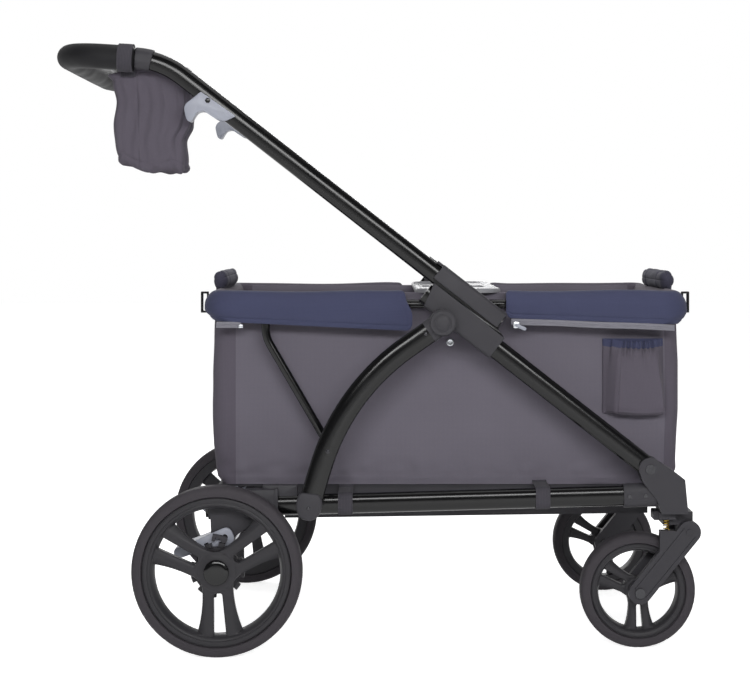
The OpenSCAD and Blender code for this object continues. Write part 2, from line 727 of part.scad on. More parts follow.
module slider(s) color(charcoal) on_side(s) along_diagonal() difference() {
    union() {
        translate([-lower_sleeve_t, -side_y, 0]) rotate([90, 0, 90]) linear_extrude(lower_sleeve_len)
            oval(2 * sleeve_half_w, lower_sleeve_h);
        translate([-upper_sleeve_t, -side_y, push_axis]) rotate([90, 0, 90]) linear_extrude(upper_sleeve_len)
            oval(2 * sleeve_half_w, upper_sleeve_h);
        translate([-lower_sleeve_t, -side_y - sleeve_half_w, 8])
            cube([lower_sleeve_t - upper_sleeve_t + upper_sleeve_len, 2 * sleeve_half_w, push_axis - 16]);
        translate([-hinge_t, -side_y - sleeve_half_w + sleeve_wall, -hinge_drop]) rotate([90, 0, 0])
            cylinder(r = stub_r, h = sleeve_wall + 2.2);
        translate([-upper_sleeve_t - 6, -side_y - 7, push_axis + push_h / 2 + sleeve_gap])
            cube([14, 14, sleeve_wall + 2]);
    }
    translate([-lower_sleeve_t - 60, -side_y - sleeve_half_w, (push_axis - groove_w) / 2])
        cube([lower_sleeve_len + 120, groove_d, groove_w]);
    translate([-lower_sleeve_t - 60, -side_y, 0]) rotate([90, 0, 90]) linear_extrude(lower_sleeve_len + 120)
        oval(tube_w + 2 * sleeve_gap, diagonal_h + 2 * sleeve_gap);
    translate([-upper_sleeve_t - 60, -side_y, push_axis]) rotate([90, 0, 90]) linear_extrude(upper_sleeve_len + 120)
        oval(tube_w + 2 * sleeve_gap, push_h + 2 * sleeve_gap);
}

// Strut: a straight lower leg, a bend and an upright end under the cover
strut_lean = atan2(strut_knee_z - strut_foot[1], strut_top[0] - strut_foot[0]);
strut_turn = strut_lean - 90;
strut_tangent = strut_bend_r * tan(strut_turn / 2);
strut_knee = [strut_top[0], strut_knee_z];
strut_low_len = norm(strut_knee - strut_foot) - strut_tangent;
strut_pin_r = 6;

module strut_section() {
    difference() {
        circle(r = strut_r);
        circle(r = strut_r - tube_wall);
    }
}

module strut(s) color(black) on_side(s) {
    straight(strut_foot, -strut_y, strut_lean, strut_low_len) strut_section();
    bend(strut_knee + [strut_bend_r, strut_tangent], -strut_y, strut_bend_r, 180, strut_turn) strut_section();
    straight(strut_knee + [0, strut_tangent], -strut_y, 90, strut_top[1] - strut_knee[1] - strut_tangent)
        strut_section();
    crossbar(strut_foot, strut_r + 2, -strut_y - strut_r - 1, -strut_y + strut_r - 0.5);
    crossbar(strut_foot, strut_pin_r, brace_in + gap, -strut_y - strut_r);
}

// Rim, covers and what they carry

module rim_section() {
    difference() {
        circle(r = rim_tube_r);
        circle(r = rim_tube_r - tube_wall);
    }
}

module rim_frame() color(black) translate([0, 0, rim_z]) {
    xs = [rim_x[0] + rim_corner_r, rim_x[1] - rim_corner_r];
    yc = rim_y - rim_corner_r;
    for (y = [-rim_y, rim_y]) translate([xs[0], y, 0]) rotate([0, 90, 0]) linear_extrude(xs[1] - xs[0]) rim_section();
    for (x = rim_x) translate([x, yc, 0]) rotate([90, 0, 0]) linear_extrude(2 * yc) rim_section();
    for (c = [[xs[1], yc, 0], [xs[0], yc, 90], [xs[0], -yc, 180], [xs[1], -yc, 270]])
        translate([c[0], c[1], 0]) rotate([0, 0, c[2]]) rotate_extrude(angle = 90)
            translate([rim_corner_r, 0]) rim_section();
}

module cover(span, low) {
    across(-cover_y, -cover_in)
        polygon([[span[0], low[0]], [span[1], low[1]], [span[1], cover_top], [span[0], cover_top]]);
    translate([span[0], -cover_in - 1, cover_under])
        cube([span[1] - span[0], cover_in + 1 - tub_half_w + tub_wall, cover_t]);
}

module covers(s) color(navy) on_side(s) {
    cover(rear_cover, rear_cover_low);
    cover(front_cover, front_cover_low);
}

zip_out = -cover_y + zip_inset;

module zip_tapes() color("gray") for (s = both) on_side(s)
    across(zip_out, zip_out + zip_t)
        polygon([[front_cover[0] + 9, front_cover_low[0] - 9 * tan(zip_slope)],
            [front_cover[1] - 14, front_cover_low[1] + 14 * tan(zip_slope)],
            [front_cover[1] - 14, front_cover_low[1] + 14 * tan(zip_slope) - zip_h],
            [front_cover[0] + 9, front_cover_low[0] - 9 * tan(zip_slope) - zip_h]]);

zip_slider_t = 2;

module zip_slider() color("silver") {
    translate([front_cover[0] + 12, zip_out - gap, front_cover_low[0] - 1]) rotate([0, zip_slope, 0]) {
        translate([0, -zip_slider_t, -zip_h]) cube([12, zip_slider_t, 8]);
        translate([4, -zip_slider_t - 0.6, -zip_h - 16]) cube([4, 1.2, 20]);
    }
}

roll_neck = 12;
roll_neck_t = 6;
roll_inward = 8;

module end_rolls() color(fabric) for (e = [0, 1]) {
    translate([rim_x[e] + (e == 0 ? 1 : -1) * roll_inward, 0, rim_z + rim_tube_r + gap + roll_neck + roll_r])
        rotate([90, 0, 0]) rotate_extrude() intersection() {
            oval(2 * roll_r, 2 * roll_half);
            translate([0, -roll_half]) square([roll_r, 2 * roll_half]);
        }
    translate([rim_x[e] - roll_neck_t / 2, -roll_half + roll_r, rim_z + rim_tube_r + gap])
        cube([roll_neck_t, 2 * (roll_half - roll_r), roll_neck + roll_r / 2]);
}

bracket_y = 168;
bracket_w = 10;
bracket_deep = 14;
bracket_bar = 4;

module end_brackets() color(black) for (e = [0, 1], y = [-bracket_y, bracket_y]) {
    d = e == 0 ? -1 : 1;
    x = rim_x[e] + d * rim_tube_r;
    across(y - bracket_w / 2, y + bracket_w / 2) difference() {
        translate([min(x, x + d * bracket_deep), rim_z - 18]) square([bracket_deep, 39]);
        translate([min(x, x + d * (bracket_deep - bracket_bar)) + (d < 0 ? 0 : 3), rim_z - 18 + bracket_bar])
            square([bracket_deep - bracket_bar - 3, 39 - 2 * bracket_bar]);
    }
}

tray_half_w = rim_y + 4;
cup_y = 100;
bin_half = 52;

module snack_tray() color(pale) {
    mid = tray_x + tray_len / 2;
    difference() {
        union() {
            translate([0, 0, cover_under]) linear_extrude(8)
                round_rect([tray_x, -tray_half_w], [tray_x + tray_len, tray_half_w], 24);
            for (y = [-cup_y, cup_y]) translate([mid, y, cover_under + 8 - cup_depth - tray_wall])
                cylinder(r = cup_r + tray_wall, h = cup_depth);
            translate([0, 0, cover_under + 8 - 34]) linear_extrude(30)
                round_rect([tray_x + 14, -bin_half], [tray_x + tray_len - 14, bin_half], 14);
            for (s = both) on_side(s) translate([tray_x + 24, -rim_y - 5, rim_z + rim_tube_r + gap])
                cube([tray_len - 48, 10, cover_under - rim_z - rim_tube_r + 1]);
        }
        for (y = [-cup_y, cup_y]) translate([mid, y, cover_under + 8 - cup_depth])
            cylinder(r = cup_r, h = cup_depth + 1);
        translate([0, 0, cover_under + 8 - 31]) linear_extrude(40)
            round_rect([tray_x + 17, -bin_half + 3], [tray_x + tray_len - 17, bin_half - 3], 11);
    }
}

// Push handle

module push_section() {
    oval_tube(tube_w, push_h, tube_wall);
}

push_len = push_corner - corner_tangent - push_start;

module push_tube(s) color(black) on_side(s) {
    straight(diag(push_start, push_axis), -side_y, 180 - diagonal_slope, push_len) push_section();
    bend(bend_centre, -side_y, push_bend_r, 90 - diagonal_slope, diagonal_slope - grip_rise)
        push_section();
}

// Runs the grip's path: two arms, two round corners and the cross bar
module grip_path() {
    corner_y = side_y - grip_corner_r;
    translate([grip_start[0], 0, grip_start[1]]) rotate([0, grip_rise, 0]) {
        for (y = [-side_y, side_y]) translate([-grip_straight, y, 0]) rotate([0, 90, 0])
            linear_extrude(grip_straight) children();
        for (c = [[corner_y, 90], [-corner_y, 180]]) translate([-grip_straight, c[0], 0]) rotate([0, 0, c[1]])
            rotate_extrude(angle = 90) translate([grip_corner_r, 0]) scale(bend_fit) children();
        translate([-grip_straight - grip_corner_r, corner_y, 0]) rotate([90, 0, 0])
            linear_extrude(2 * corner_y) children();
    }
}

module handle_bar() color("dimgray") grip_path() difference() {
    circle(r = bar_r);
    circle(r = bar_r - tube_wall);
}

module handle_grip() color(rubber) grip_path() difference() {
    circle(r = grip_r);
    circle(r = bar_r + play);
}

collar_sweep = collar_len * 180 / PI / push_bend_r;

module grip_collars() color(charcoal) for (s = both) on_side(s)
    bend(bend_centre, -side_y, push_bend_r, 90 - grip_rise - collar_sweep, collar_sweep - 0.2) difference() {
        oval(tube_w + 2 * collar_t, push_h + 2 * collar_t);
        oval(tube_w + 2 * gap, push_h + 2 * gap);
    }

bag_strap_w = 27;
bag_x = grip_start[0] - 52;
bag_top = grip_start[1] - grip_r - 2;
bag_y = -side_y + grip_r + 2.5;
bag_strap_t = 2;
bag_strap_back = 3;
bag_strap_x = grip_start[0] - bag_strap_w - bag_strap_back;

module cup_bag() color(fabric) {
    difference() {
        translate([bag_x, bag_y, bag_top - bag_h]) linear_extrude(bag_h) round_rect([0, 0], [bag_len, bag_w], 24);
        translate([bag_x, bag_y, bag_top - bag_h + bag_wall]) linear_extrude(bag_h)
            round_rect([bag_wall, bag_wall], [bag_len - bag_wall, bag_w - bag_wall], 24 - bag_wall);
    }
    translate([bag_strap_x, bag_y, bag_top - 20]) cube([bag_strap_w, bag_wall, grip_r + 20]);
    translate([grip_start[0], -side_y, grip_start[1]]) rotate([0, grip_rise, 0])
        translate([-bag_strap_w - bag_strap_back, 0, 0]) rotate([0, 90, 0]) linear_extrude(bag_strap_w) difference() {
            circle(r = grip_r + 2 * gap + bag_strap_t);
            circle(r = grip_r + 2 * gap);
        }
}

// Release lever: a channel round the underside of the push tube with a finger hook
lever_side_t = 2.2;
lever_gap = 0.4;

lever_low = push_h / 2 + 8;
hook_low = 53;
hook_x = -13;
channel_x = [13, 59];
lever_w = tube_w + 2 * (lever_gap + lever_side_t);
lever_out = side_out - lever_gap - lever_side_t;

// Outline about the lever's place on the push tube's axis
module lever_side() {
    polygon([[7, -4], [channel_x[1], -4], [channel_x[1], -lever_low], [channel_x[0], -lever_low],
        [-1, -34], [hook_x + 6, -hook_low], [hook_x, -hook_low], [-17, -32], [-22, -14], [-15, 0]]);
}

module lever(s) color(pale) on_side(s) along_diagonal() translate([-lever_t, 0, push_axis]) {
    for (y = [lever_out, side_in + lever_gap]) across(y, y + lever_side_t) lever_side();
    translate([channel_x[0], lever_out, -lever_low])
        cube([channel_x[1] - channel_x[0], lever_w, lever_low - push_h / 2 - 0.6]);
    translate([hook_x, lever_out, -hook_low]) cube([6, lever_w, 8]);
    translate([0, lever_out - 1.6, -lever_drop]) rotate([-90, 0, 0]) cylinder(r = 5, h = 1.6);
}

// Foot brake: one rod through both legs with a pedal and a pawl at each side
pedal_tip = [-352, 172];
pedal_y0 = leg_in + 4;
pedal_w = 36;
pawl_reach = 18;
pawl_y0 = -rear_wheel_y + rear_wheel_w / 2 - 16;
pawl_y1 = -rear_wheel_y + rear_wheel_w / 2 - 9;
brake_radius_angle = atan2(brake_pivot[1] - rear_hub[1], brake_pivot[0] - rear_hub[0]);
brake_radius = norm(brake_pivot - rear_hub);
brake_turn = 20;
notch_angle = brake_radius_angle + atan2(pawl_reach * cos(brake_turn) - 8 * sin(brake_turn), 46);

module brake_linkage() color(pale) {
    rod_end = -pawl_y0;
    crossbar(brake_pivot, brake_rod_r, -rod_end, rod_end);
    for (s = both) on_side(s) {
        across(pedal_y0, pedal_y0 + pedal_w) {
            translate(brake_pivot) circle(r = 11);
            polygon([brake_pivot + [-4, 10], brake_pivot + [3, -11], pedal_tip + [4, -9], pedal_tip + [-4, 5]]);
            translate(pedal_tip) circle(r = 8);
        }
        across(pawl_y0, pawl_y1) translate(rear_hub) rotate(brake_radius_angle - 90) translate([0, brake_radius]) {
            circle(r = brake_rod_r + 1);
            translate([-pawl_reach - 3, 0]) square([pawl_reach + 3, 6]);
            translate([-pawl_reach - 3, -6]) square([6, 8]);
        }
    }
}

base_rail(right);  // right_base_rail
base_rail(left);  // left_base_rail
front_casting(right);  // right_front_casting
front_casting(left);  // left_front_casting
cross_tubes();
rear_leg(right);  // right_rear_leg
rear_leg(left);  // left_rear_leg
rear_axle();
floor_tray();
floor_mat();
basket_shell();
side_pocket();
rail_straps();
frame_rivets();
harness_straps();
rear_tyre(right);  // right_rear_tyre
rear_rim(right);  // right_rear_rim
hub_cap(right);  // right_hub_cap
rear_tyre(left);  // left_rear_tyre
rear_rim(left);  // left_rear_rim
hub_cap(left);  // left_hub_cap
caster_head(right);  // right_caster_head
caster_arms(right);  // right_caster_arms
caster_spring(right);  // right_caster_spring
front_axle(right);  // right_front_axle
front_tyre(right);  // right_front_tyre
front_rim(right);  // right_front_rim
caster_head(left);  // left_caster_head
caster_arms(left);  // left_caster_arms
caster_spring(left);  // left_caster_spring
front_axle(left);  // left_front_axle
front_tyre(left);  // left_front_tyre
front_rim(left);  // left_front_rim
brace(right);  // right_brace
brace(left);  // left_brace
brace_knobs();
diagonal(right);  // right_diagonal
diagonal(left);  // left_diagonal
slider(right);  // right_slider
slider(left);  // left_slider
strut(right);  // right_strut
strut(left);  // left_strut
rim_frame();
covers(right);  // right_covers
covers(left);  // left_covers
zip_tapes();
end_rolls();
end_brackets();
snack_tray();
push_tube(right);  // right_push_tube
push_tube(left);  // left_push_tube
handle_bar();
handle_grip();
grip_collars();
cup_bag();
lever(right);  // right_lever
lever(left);  // left_lever
brake_linkage();
zip_slider();
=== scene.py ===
"""Dresses the frame of a folding stroller wagon: its cloth, wheels, grip and the finish of every surface.

Shapes are worked out in millimetres and put into the mesh in metres. X runs from the handle (-) to the
casters (+), Z is up, and the right side, which faces the camera, is at -Y.
"""
import json

import bmesh
import bpy
import numpy as np
from bpy.props import FloatProperty, FloatVectorProperty, IntProperty, PointerProperty
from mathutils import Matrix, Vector


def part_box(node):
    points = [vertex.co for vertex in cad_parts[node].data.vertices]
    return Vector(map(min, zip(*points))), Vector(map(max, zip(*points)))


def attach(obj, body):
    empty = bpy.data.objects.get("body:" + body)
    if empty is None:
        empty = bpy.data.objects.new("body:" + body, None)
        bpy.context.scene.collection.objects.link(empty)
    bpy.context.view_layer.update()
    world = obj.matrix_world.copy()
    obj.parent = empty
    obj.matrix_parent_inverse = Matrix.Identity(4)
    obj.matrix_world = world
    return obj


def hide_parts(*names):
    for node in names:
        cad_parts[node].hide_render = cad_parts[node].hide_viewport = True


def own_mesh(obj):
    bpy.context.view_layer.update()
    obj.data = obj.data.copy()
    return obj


bl_info = {
    "name": "Stroller wagon dressing",
    "version": (1, 0, 0),
    "blender": (4, 5, 0),
    "location": "View3D > Sidebar > Wagon",
    "description": "Cloth, wheels, grip and finishes of a folding stroller wagon",
    "category": "Add Mesh",
}

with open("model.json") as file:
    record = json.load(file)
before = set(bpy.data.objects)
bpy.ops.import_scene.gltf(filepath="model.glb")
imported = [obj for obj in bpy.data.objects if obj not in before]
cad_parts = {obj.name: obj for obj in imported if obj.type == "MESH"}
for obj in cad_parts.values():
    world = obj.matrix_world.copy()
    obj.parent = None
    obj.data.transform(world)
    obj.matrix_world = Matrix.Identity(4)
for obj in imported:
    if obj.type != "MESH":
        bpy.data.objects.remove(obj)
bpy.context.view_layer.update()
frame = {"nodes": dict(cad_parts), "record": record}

MM = 0.001
SIDES = {"right": -1.0, "left": 1.0}


# Measures taken from the frame, in millimetres

def span(node):
    """Lowest and highest corner of a node."""
    low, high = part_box(node)
    return np.array(low) / MM, np.array(high) / MM


TUB_LOW, TUB_HIGH = span("basket_shell")
RIM_LOW, RIM_HIGH = span("rim_frame")
COVER_LOW, COVER_HIGH = span("right_covers")
MAT_LOW, MAT_HIGH = span("floor_mat")
POCKET_LOW, POCKET_HIGH = span("side_pocket")
GRIP_LOW, GRIP_HIGH = span("handle_grip")
ZIP_LOW, ZIP_HIGH = span("zip_tapes")
ROLL_LOW, ROLL_HIGH = span("end_rolls")
RAIL_LOW, RAIL_HIGH = span("right_base_rail")
HARNESS_LOW, HARNESS_HIGH = span("harness_straps")

# Upright seams of the tub and folding seams of the mat
TUB_SEAMS = np.array([TUB_LOW[0] + 35, TUB_HIGH[0] - 25])
MAT_SEAMS = np.linspace(MAT_LOW[0], MAT_HIGH[0], 5)[1:-1]

# The oval base rails climb a little towards the front
RAIL_TALL = 36.0
RAIL_RISE = 1.6
RAIL_SLOPE = np.tan(np.radians(RAIL_RISE))

# Layers of the side frames: tubes in line with the rails, braces outside them
SIDE_Y = (RAIL_HIGH[1] - RAIL_LOW[1]) / 2 + abs(RAIL_HIGH[1])
BRACE_Y, BRACE_OUT = 297.5, 309.0

# The brake: the outer face of the pedals, and the angle of the notch that faces the pawl
PEDAL_OUT = 252.0
NOTCH_AT = np.radians(95.4)

# The diagonals and push tubes run up from the fold's pivot at this slope
FOLD_AT = np.array([486.0, 325.0])
DIAGONAL_SLOPE = 38.0
BRACE_FOOT = np.array([-117.0, 260.5])
BRACE_HEAD = np.array([118.0, 584.5])
BRACE_TOP_SLOPE = 35.0

# The grip's arms start at its collars and rise towards the crossbar
GRIP_RADIUS = 22.5
GRIP_SIDE = GRIP_HIGH[1] - GRIP_RADIUS
GRIP_RISE = np.radians(3.5)
GRIP_START = np.array([-426.0, -GRIP_SIDE, 1052.2])

# The cup bag hangs inside the right arm; its node also holds the strap round the arm
BAG_LOW, BAG_HIGH = span("cup_bag")
BAG_LOW[1] = -GRIP_SIDE + GRIP_RADIUS + 2.5
BAG_TOP = GRIP_START[2] - GRIP_RADIUS - 2.0


def linear(code):
    """Linear red, green and blue of an sRGB hex colour."""
    srgb = np.array([int(code[i:i + 2], 16) for i in (1, 3, 5)]) / 255.0
    return tuple(np.where(srgb <= 0.04045, srgb / 12.92, ((srgb + 0.055) / 1.055) ** 2.4))


def tint(label, text, code):
    """A colour that the user can change."""
    return FloatVectorProperty(name=label, description=text, subtype="COLOR", size=3, min=0.0, max=1.0,
                               default=linear(code))


def size(label, text, value, low, high):
    """A size in millimetres that the user can change."""
    return FloatProperty(name=label, description=text + ", in millimetres", default=value, min=low, max=high)


class WagonColours(bpy.types.PropertyGroup):
    """Colours of the wagon's materials"""
    steel_black: tint("Frame black", "Powder coat of the tubes", "#0b0b0c")
    nylon: tint("Moulded charcoal", "Castings, brackets and knobs", "#39383c")
    rim: tint("Wheel black", "Wheel discs", "#333235")
    tyre: tint("Tyre", "Foamed tyre", "#403d41")
    gray_cloth: tint("Gray cloth", "Tub's sides and necks of the rolls", "#69656f")
    end_cloth: tint("End cloth", "Tub's ends, linings, mat, pocket and cup bag", "#5b5660")
    navy_cloth: tint("Navy cloth", "Padded covers", "#43465f")
    roll_cloth: tint("Slate cloth", "Rolls at the ends", "#42414f")
    webbing: tint("Webbing", "Straps", "#434147")
    zip_tape: tint("Zip tape", "Tape of the zips", "#7b7a82")
    foam: tint("Grip foam", "Foam of the grip", "#1b1b1d")
    pale: tint("Pale plastic", "Levers and brake", "#989ba6")
    tray: tint("Tray gray", "Snack tray", "#7e7e82")
    rivet: tint("Blackened steel", "Rivets and bolts", "#3a3a3d")
    zinc: tint("Zinc steel", "Rear axle, press stud and metal of the zips", "#b9bcc0")
    spring: tint("Yellow zinc", "Caster springs", "#c2a24e")
    floor: tint("Floor", "Studio floor", "#f3f3f3")


class WagonSizes(bpy.types.PropertyGroup):
    """Sizes of the soft pieces and of the fine relief"""
    thread: size("Thread", "Spacing of the cloth's threads as drawn", 2.2, 0.3, 6.0)
    wrinkle: size("Wrinkles", "Depth of the wrinkles in the tub's sides", 1.5, 0.0, 6.0)
    pad: size("Padding", "How far the covers' padding stands out", 3.0, 0.0, 6.0)
    hem: size("Hem", "Width of the sewn hems", 8.0, 2.0, 15.0)
    bevel: size("Edge", "Rounding of the moulded edges", 1.2, 0.2, 3.0)
    treads: IntProperty(name="Tread notches", description="Notches round a rear tyre", default=34,
                        min=12, max=90)


def colours():
    return bpy.context.scene.wagon_colours


def sizes():
    return bpy.context.scene.wagon_sizes


# Materials

def add(tree, kind, inputs=None, **settings):
    """Adds a node, makes its settings, and sets or links each named input."""
    node = tree.nodes.new(kind)
    for name, value in settings.items():
        setattr(node, name, value)
    for name, value in (inputs or {}).items():
        if isinstance(value, bpy.types.NodeSocket):
            tree.links.new(value, node.inputs[name])
        else:
            node.inputs[name].default_value = value
    return node


def started(name, sockets):
    """A new material with the constant sockets of its surface set, and its tree and surface node."""
    material = bpy.data.materials.new(name)
    material.use_nodes = True
    surface = material.node_tree.nodes["Principled BSDF"]
    for socket, value in sockets.items():
        surface.inputs[socket].default_value = value
    return material, material.node_tree, surface


def solid_finish(name, colour, roughness, grain, depth, mottle=0.08, **sockets):
    """A dense surface: colour that drifts over 50 mm, roughness that wanders, and a fine grain in relief.

    grain and depth are the grain's width and height in millimetres.
    """
    material, tree, surface = started(name, {key.replace("_", " "): value for key, value in sockets.items()})
    place = add(tree, "ShaderNodeTexCoord")
    drift = add(tree, "ShaderNodeTexNoise", {"Vector": place.outputs["Object"], "Scale": 1 / (50 * MM),
                                             "Detail": 4.0})
    colour = np.array(colour)
    tone = add(tree, "ShaderNodeMix", {0: drift.outputs["Fac"], 6: (*colour * (1 - mottle), 1.0),
                                       7: (*np.minimum(colour * (1 + mottle), 1.0), 1.0)}, data_type="RGBA")
    tree.links.new(tone.outputs[2], surface.inputs["Base Color"])
    rough = add(tree, "ShaderNodeMapRange", {"Value": drift.outputs["Fac"], "From Min": 0.3, "From Max": 0.7,
                                             "To Min": roughness * 0.85, "To Max": min(roughness * 1.2, 1.0)})
    tree.links.new(rough.outputs["Result"], surface.inputs["Roughness"])
    fine = add(tree, "ShaderNodeTexNoise", {"Vector": place.outputs["Object"], "Scale": 1 / (grain * MM),
                                            "Detail": 2.0})
    relief = add(tree, "ShaderNodeBump", {"Height": fine.outputs["Fac"], "Strength": 0.4,
                                          "Distance": depth * MM})
    tree.links.new(relief.outputs["Normal"], surface.inputs["Normal"])
    return material


def woven_finish(name, colour, thread, contrast, roughness=0.85, ribs=False, on="UV"):
    """Cloth on a UV map in metres: over-and-under threads, slubs along them and slow fading.

    The weave is the product of two sine bands a thread apart; ribs keeps the bands across only.
    """
    material, tree, surface = started(name, {"Roughness": roughness, "Sheen Weight": 0.06,
                                             "Sheen Roughness": 0.5, "Specular IOR Level": 0.12})
    place = add(tree, "ShaderNodeTexCoord")
    # A band repeats every tenth of pi over its scale
    scale = np.pi / 10 / (thread * MM)
    warp = add(tree, "ShaderNodeTexWave", {"Vector": place.outputs[on], "Scale": scale, "Distortion": 0.4,
                                           "Detail Scale": 2.0}, bands_direction="X")
    weft = add(tree, "ShaderNodeTexWave", {"Vector": place.outputs[on], "Scale": scale, "Distortion": 0.4,
                                           "Detail Scale": 2.0}, bands_direction="Y")
    crossing = add(tree, "ShaderNodeMath", {0: weft.outputs["Fac"], 1: 1.0 if ribs else warp.outputs["Fac"]},
                   operation="MULTIPLY")
    fade = add(tree, "ShaderNodeTexNoise", {"Vector": place.outputs["Object"], "Scale": 1 / (90 * MM),
                                            "Detail": 5.0})
    slub = add(tree, "ShaderNodeTexNoise", {"Vector": place.outputs[on], "Scale": 1 / (4 * MM),
                                            "Detail": 3.0})
    blend = add(tree, "ShaderNodeMix", {0: 0.35, 2: crossing.outputs["Value"], 3: slub.outputs["Fac"]})
    shade = add(tree, "ShaderNodeMix", {0: 0.4, 2: blend.outputs[0], 3: fade.outputs["Fac"]})
    colour = np.array(colour)
    tone = add(tree, "ShaderNodeMix", {0: shade.outputs[0], 6: (*colour * (1 - contrast), 1.0),
                                       7: (*np.minimum(colour * (1 + contrast), 1.0), 1.0)}, data_type="RGBA")
    tree.links.new(tone.outputs[2], surface.inputs["Base Color"])
    relief = add(tree, "ShaderNodeBump", {"Height": blend.outputs[0], "Strength": 0.35, "Distance": 0.4 * MM})
    tree.links.new(relief.outputs["Normal"], surface.inputs["Normal"])
    return material


def make_materials():
    """Each of the wagon's finishes, by the name that the pieces use."""
    c = colours()
    thread = sizes().thread
    return {
        # Powder coat on steel tube: a satin gloss with a trace of orange peel
        "steel": solid_finish("powder_coated_steel", c.steel_black, 0.17, 2.5, 0.002,
                              Specular_IOR_Level=0.32),
        # Glass filled nylon, moulded with a satin spark texture
        "nylon": solid_finish("moulded_nylon", c.nylon, 0.5, 0.9, 0.05, Specular_IOR_Level=0.2),
        # Polypropylene wheel discs, satin from the mould
        "rim": solid_finish("moulded_polypropylene", c.rim, 0.44, 1.1, 0.04, Specular_IOR_Level=0.2),
        # Foamed rubber: dull, with open pores and a dusty bloom
        "tyre": solid_finish("foamed_rubber", c.tyre, 0.7, 1.6, 0.12, mottle=0.12, Specular_IOR_Level=0.15),
        # Plain woven polyester, threads drawn about four times as coarse as they are, so that they show
        "gray": woven_finish("woven_polyester_gray", c.gray_cloth, thread, 0.16),
        "gray_end": woven_finish("woven_polyester_dark", c.end_cloth, thread, 0.16),
        "navy": woven_finish("woven_polyester_navy", c.navy_cloth, thread, 0.18),
        "navy_gray": woven_finish("woven_polyester_slate", c.roll_cloth, thread, 0.18),
        # The mat's cover is the same cloth; its skin is remade as it is filled, so its weave lies on X and Y
        "mat": woven_finish("woven_polyester_mat", c.end_cloth, thread * 1.3, 0.16, on="Object"),
        # Ribbed polyester webbing, ribs across the strap
        "webbing": woven_finish("polyester_webbing", c.webbing, thread * 1.2, 0.3, ribs=True),
        # Zip tape: a tight herringbone that reads as fine ribs
        "zip": woven_finish("zip_tape", c.zip_tape, thread * 0.8, 0.22, roughness=0.6, ribs=True),
        # Closed cell foam: matt, with small pores
        "foam": solid_finish("grip_foam", c.foam, 0.6, 1.8, 0.15, mottle=0.15, Specular_IOR_Level=0.2),
        # Polished black ABS of the hub caps
        "cap": solid_finish("polished_abs", c.steel_black, 0.14, 2.0, 0.01, Specular_IOR_Level=0.35),
        # ABS, light gray, satin
        "pale": solid_finish("moulded_abs", c.pale, 0.38, 1.0, 0.03, mottle=0.04, Specular_IOR_Level=0.3),
        # ABS of the snack tray, a darker gray
        "tray": solid_finish("moulded_abs_tray", c.tray, 0.42, 1.0, 0.03, mottle=0.04,
                             Specular_IOR_Level=0.3),
        # Blackened steel of the rivets and bolts, polished by use
        "rivet": solid_finish("blackened_steel", c.rivet, 0.2, 0.8, 0.01, Metallic=0.6),
        # Bright zinc on steel, with a soft brushed spread in its gloss
        "zinc": solid_finish("zinc_plated_steel", c.zinc, 0.28, 1.5, 0.03, Metallic=1.0),
        # Yellow passivated zinc on spring wire
        "spring": solid_finish("yellow_zinc_wire", c.spring, 0.32, 1.0, 0.02, Metallic=1.0),
    }


MATERIALS = {}

SLOT_FINISH = {
    "frame_black": "steel", "plastic_dark": "nylon", "rim_black": "rim", "tyre": "tyre", "steel": "zinc",
    "spring": "spring", "fabric_gray": "gray", "fabric_navy": "navy", "webbing": "webbing", "zip_gray": "zip",
    "zip_metal": "zinc", "grip_foam": "foam", "plastic_pale": "pale",
}


# Surfaces

def arc_map(points):
    """UV map in metres: the mean distance run along each of the grid's two directions."""
    along = np.linalg.norm(np.diff(points, axis=0), axis=2).mean(axis=1)
    over = np.linalg.norm(np.diff(points, axis=1), axis=2).mean(axis=0)
    u = np.concatenate([[0], np.cumsum(along)]) * MM
    v = np.concatenate([[0], np.cumsum(over)]) * MM
    return np.stack(np.meshgrid(u, v, indexing="ij"), axis=-1)


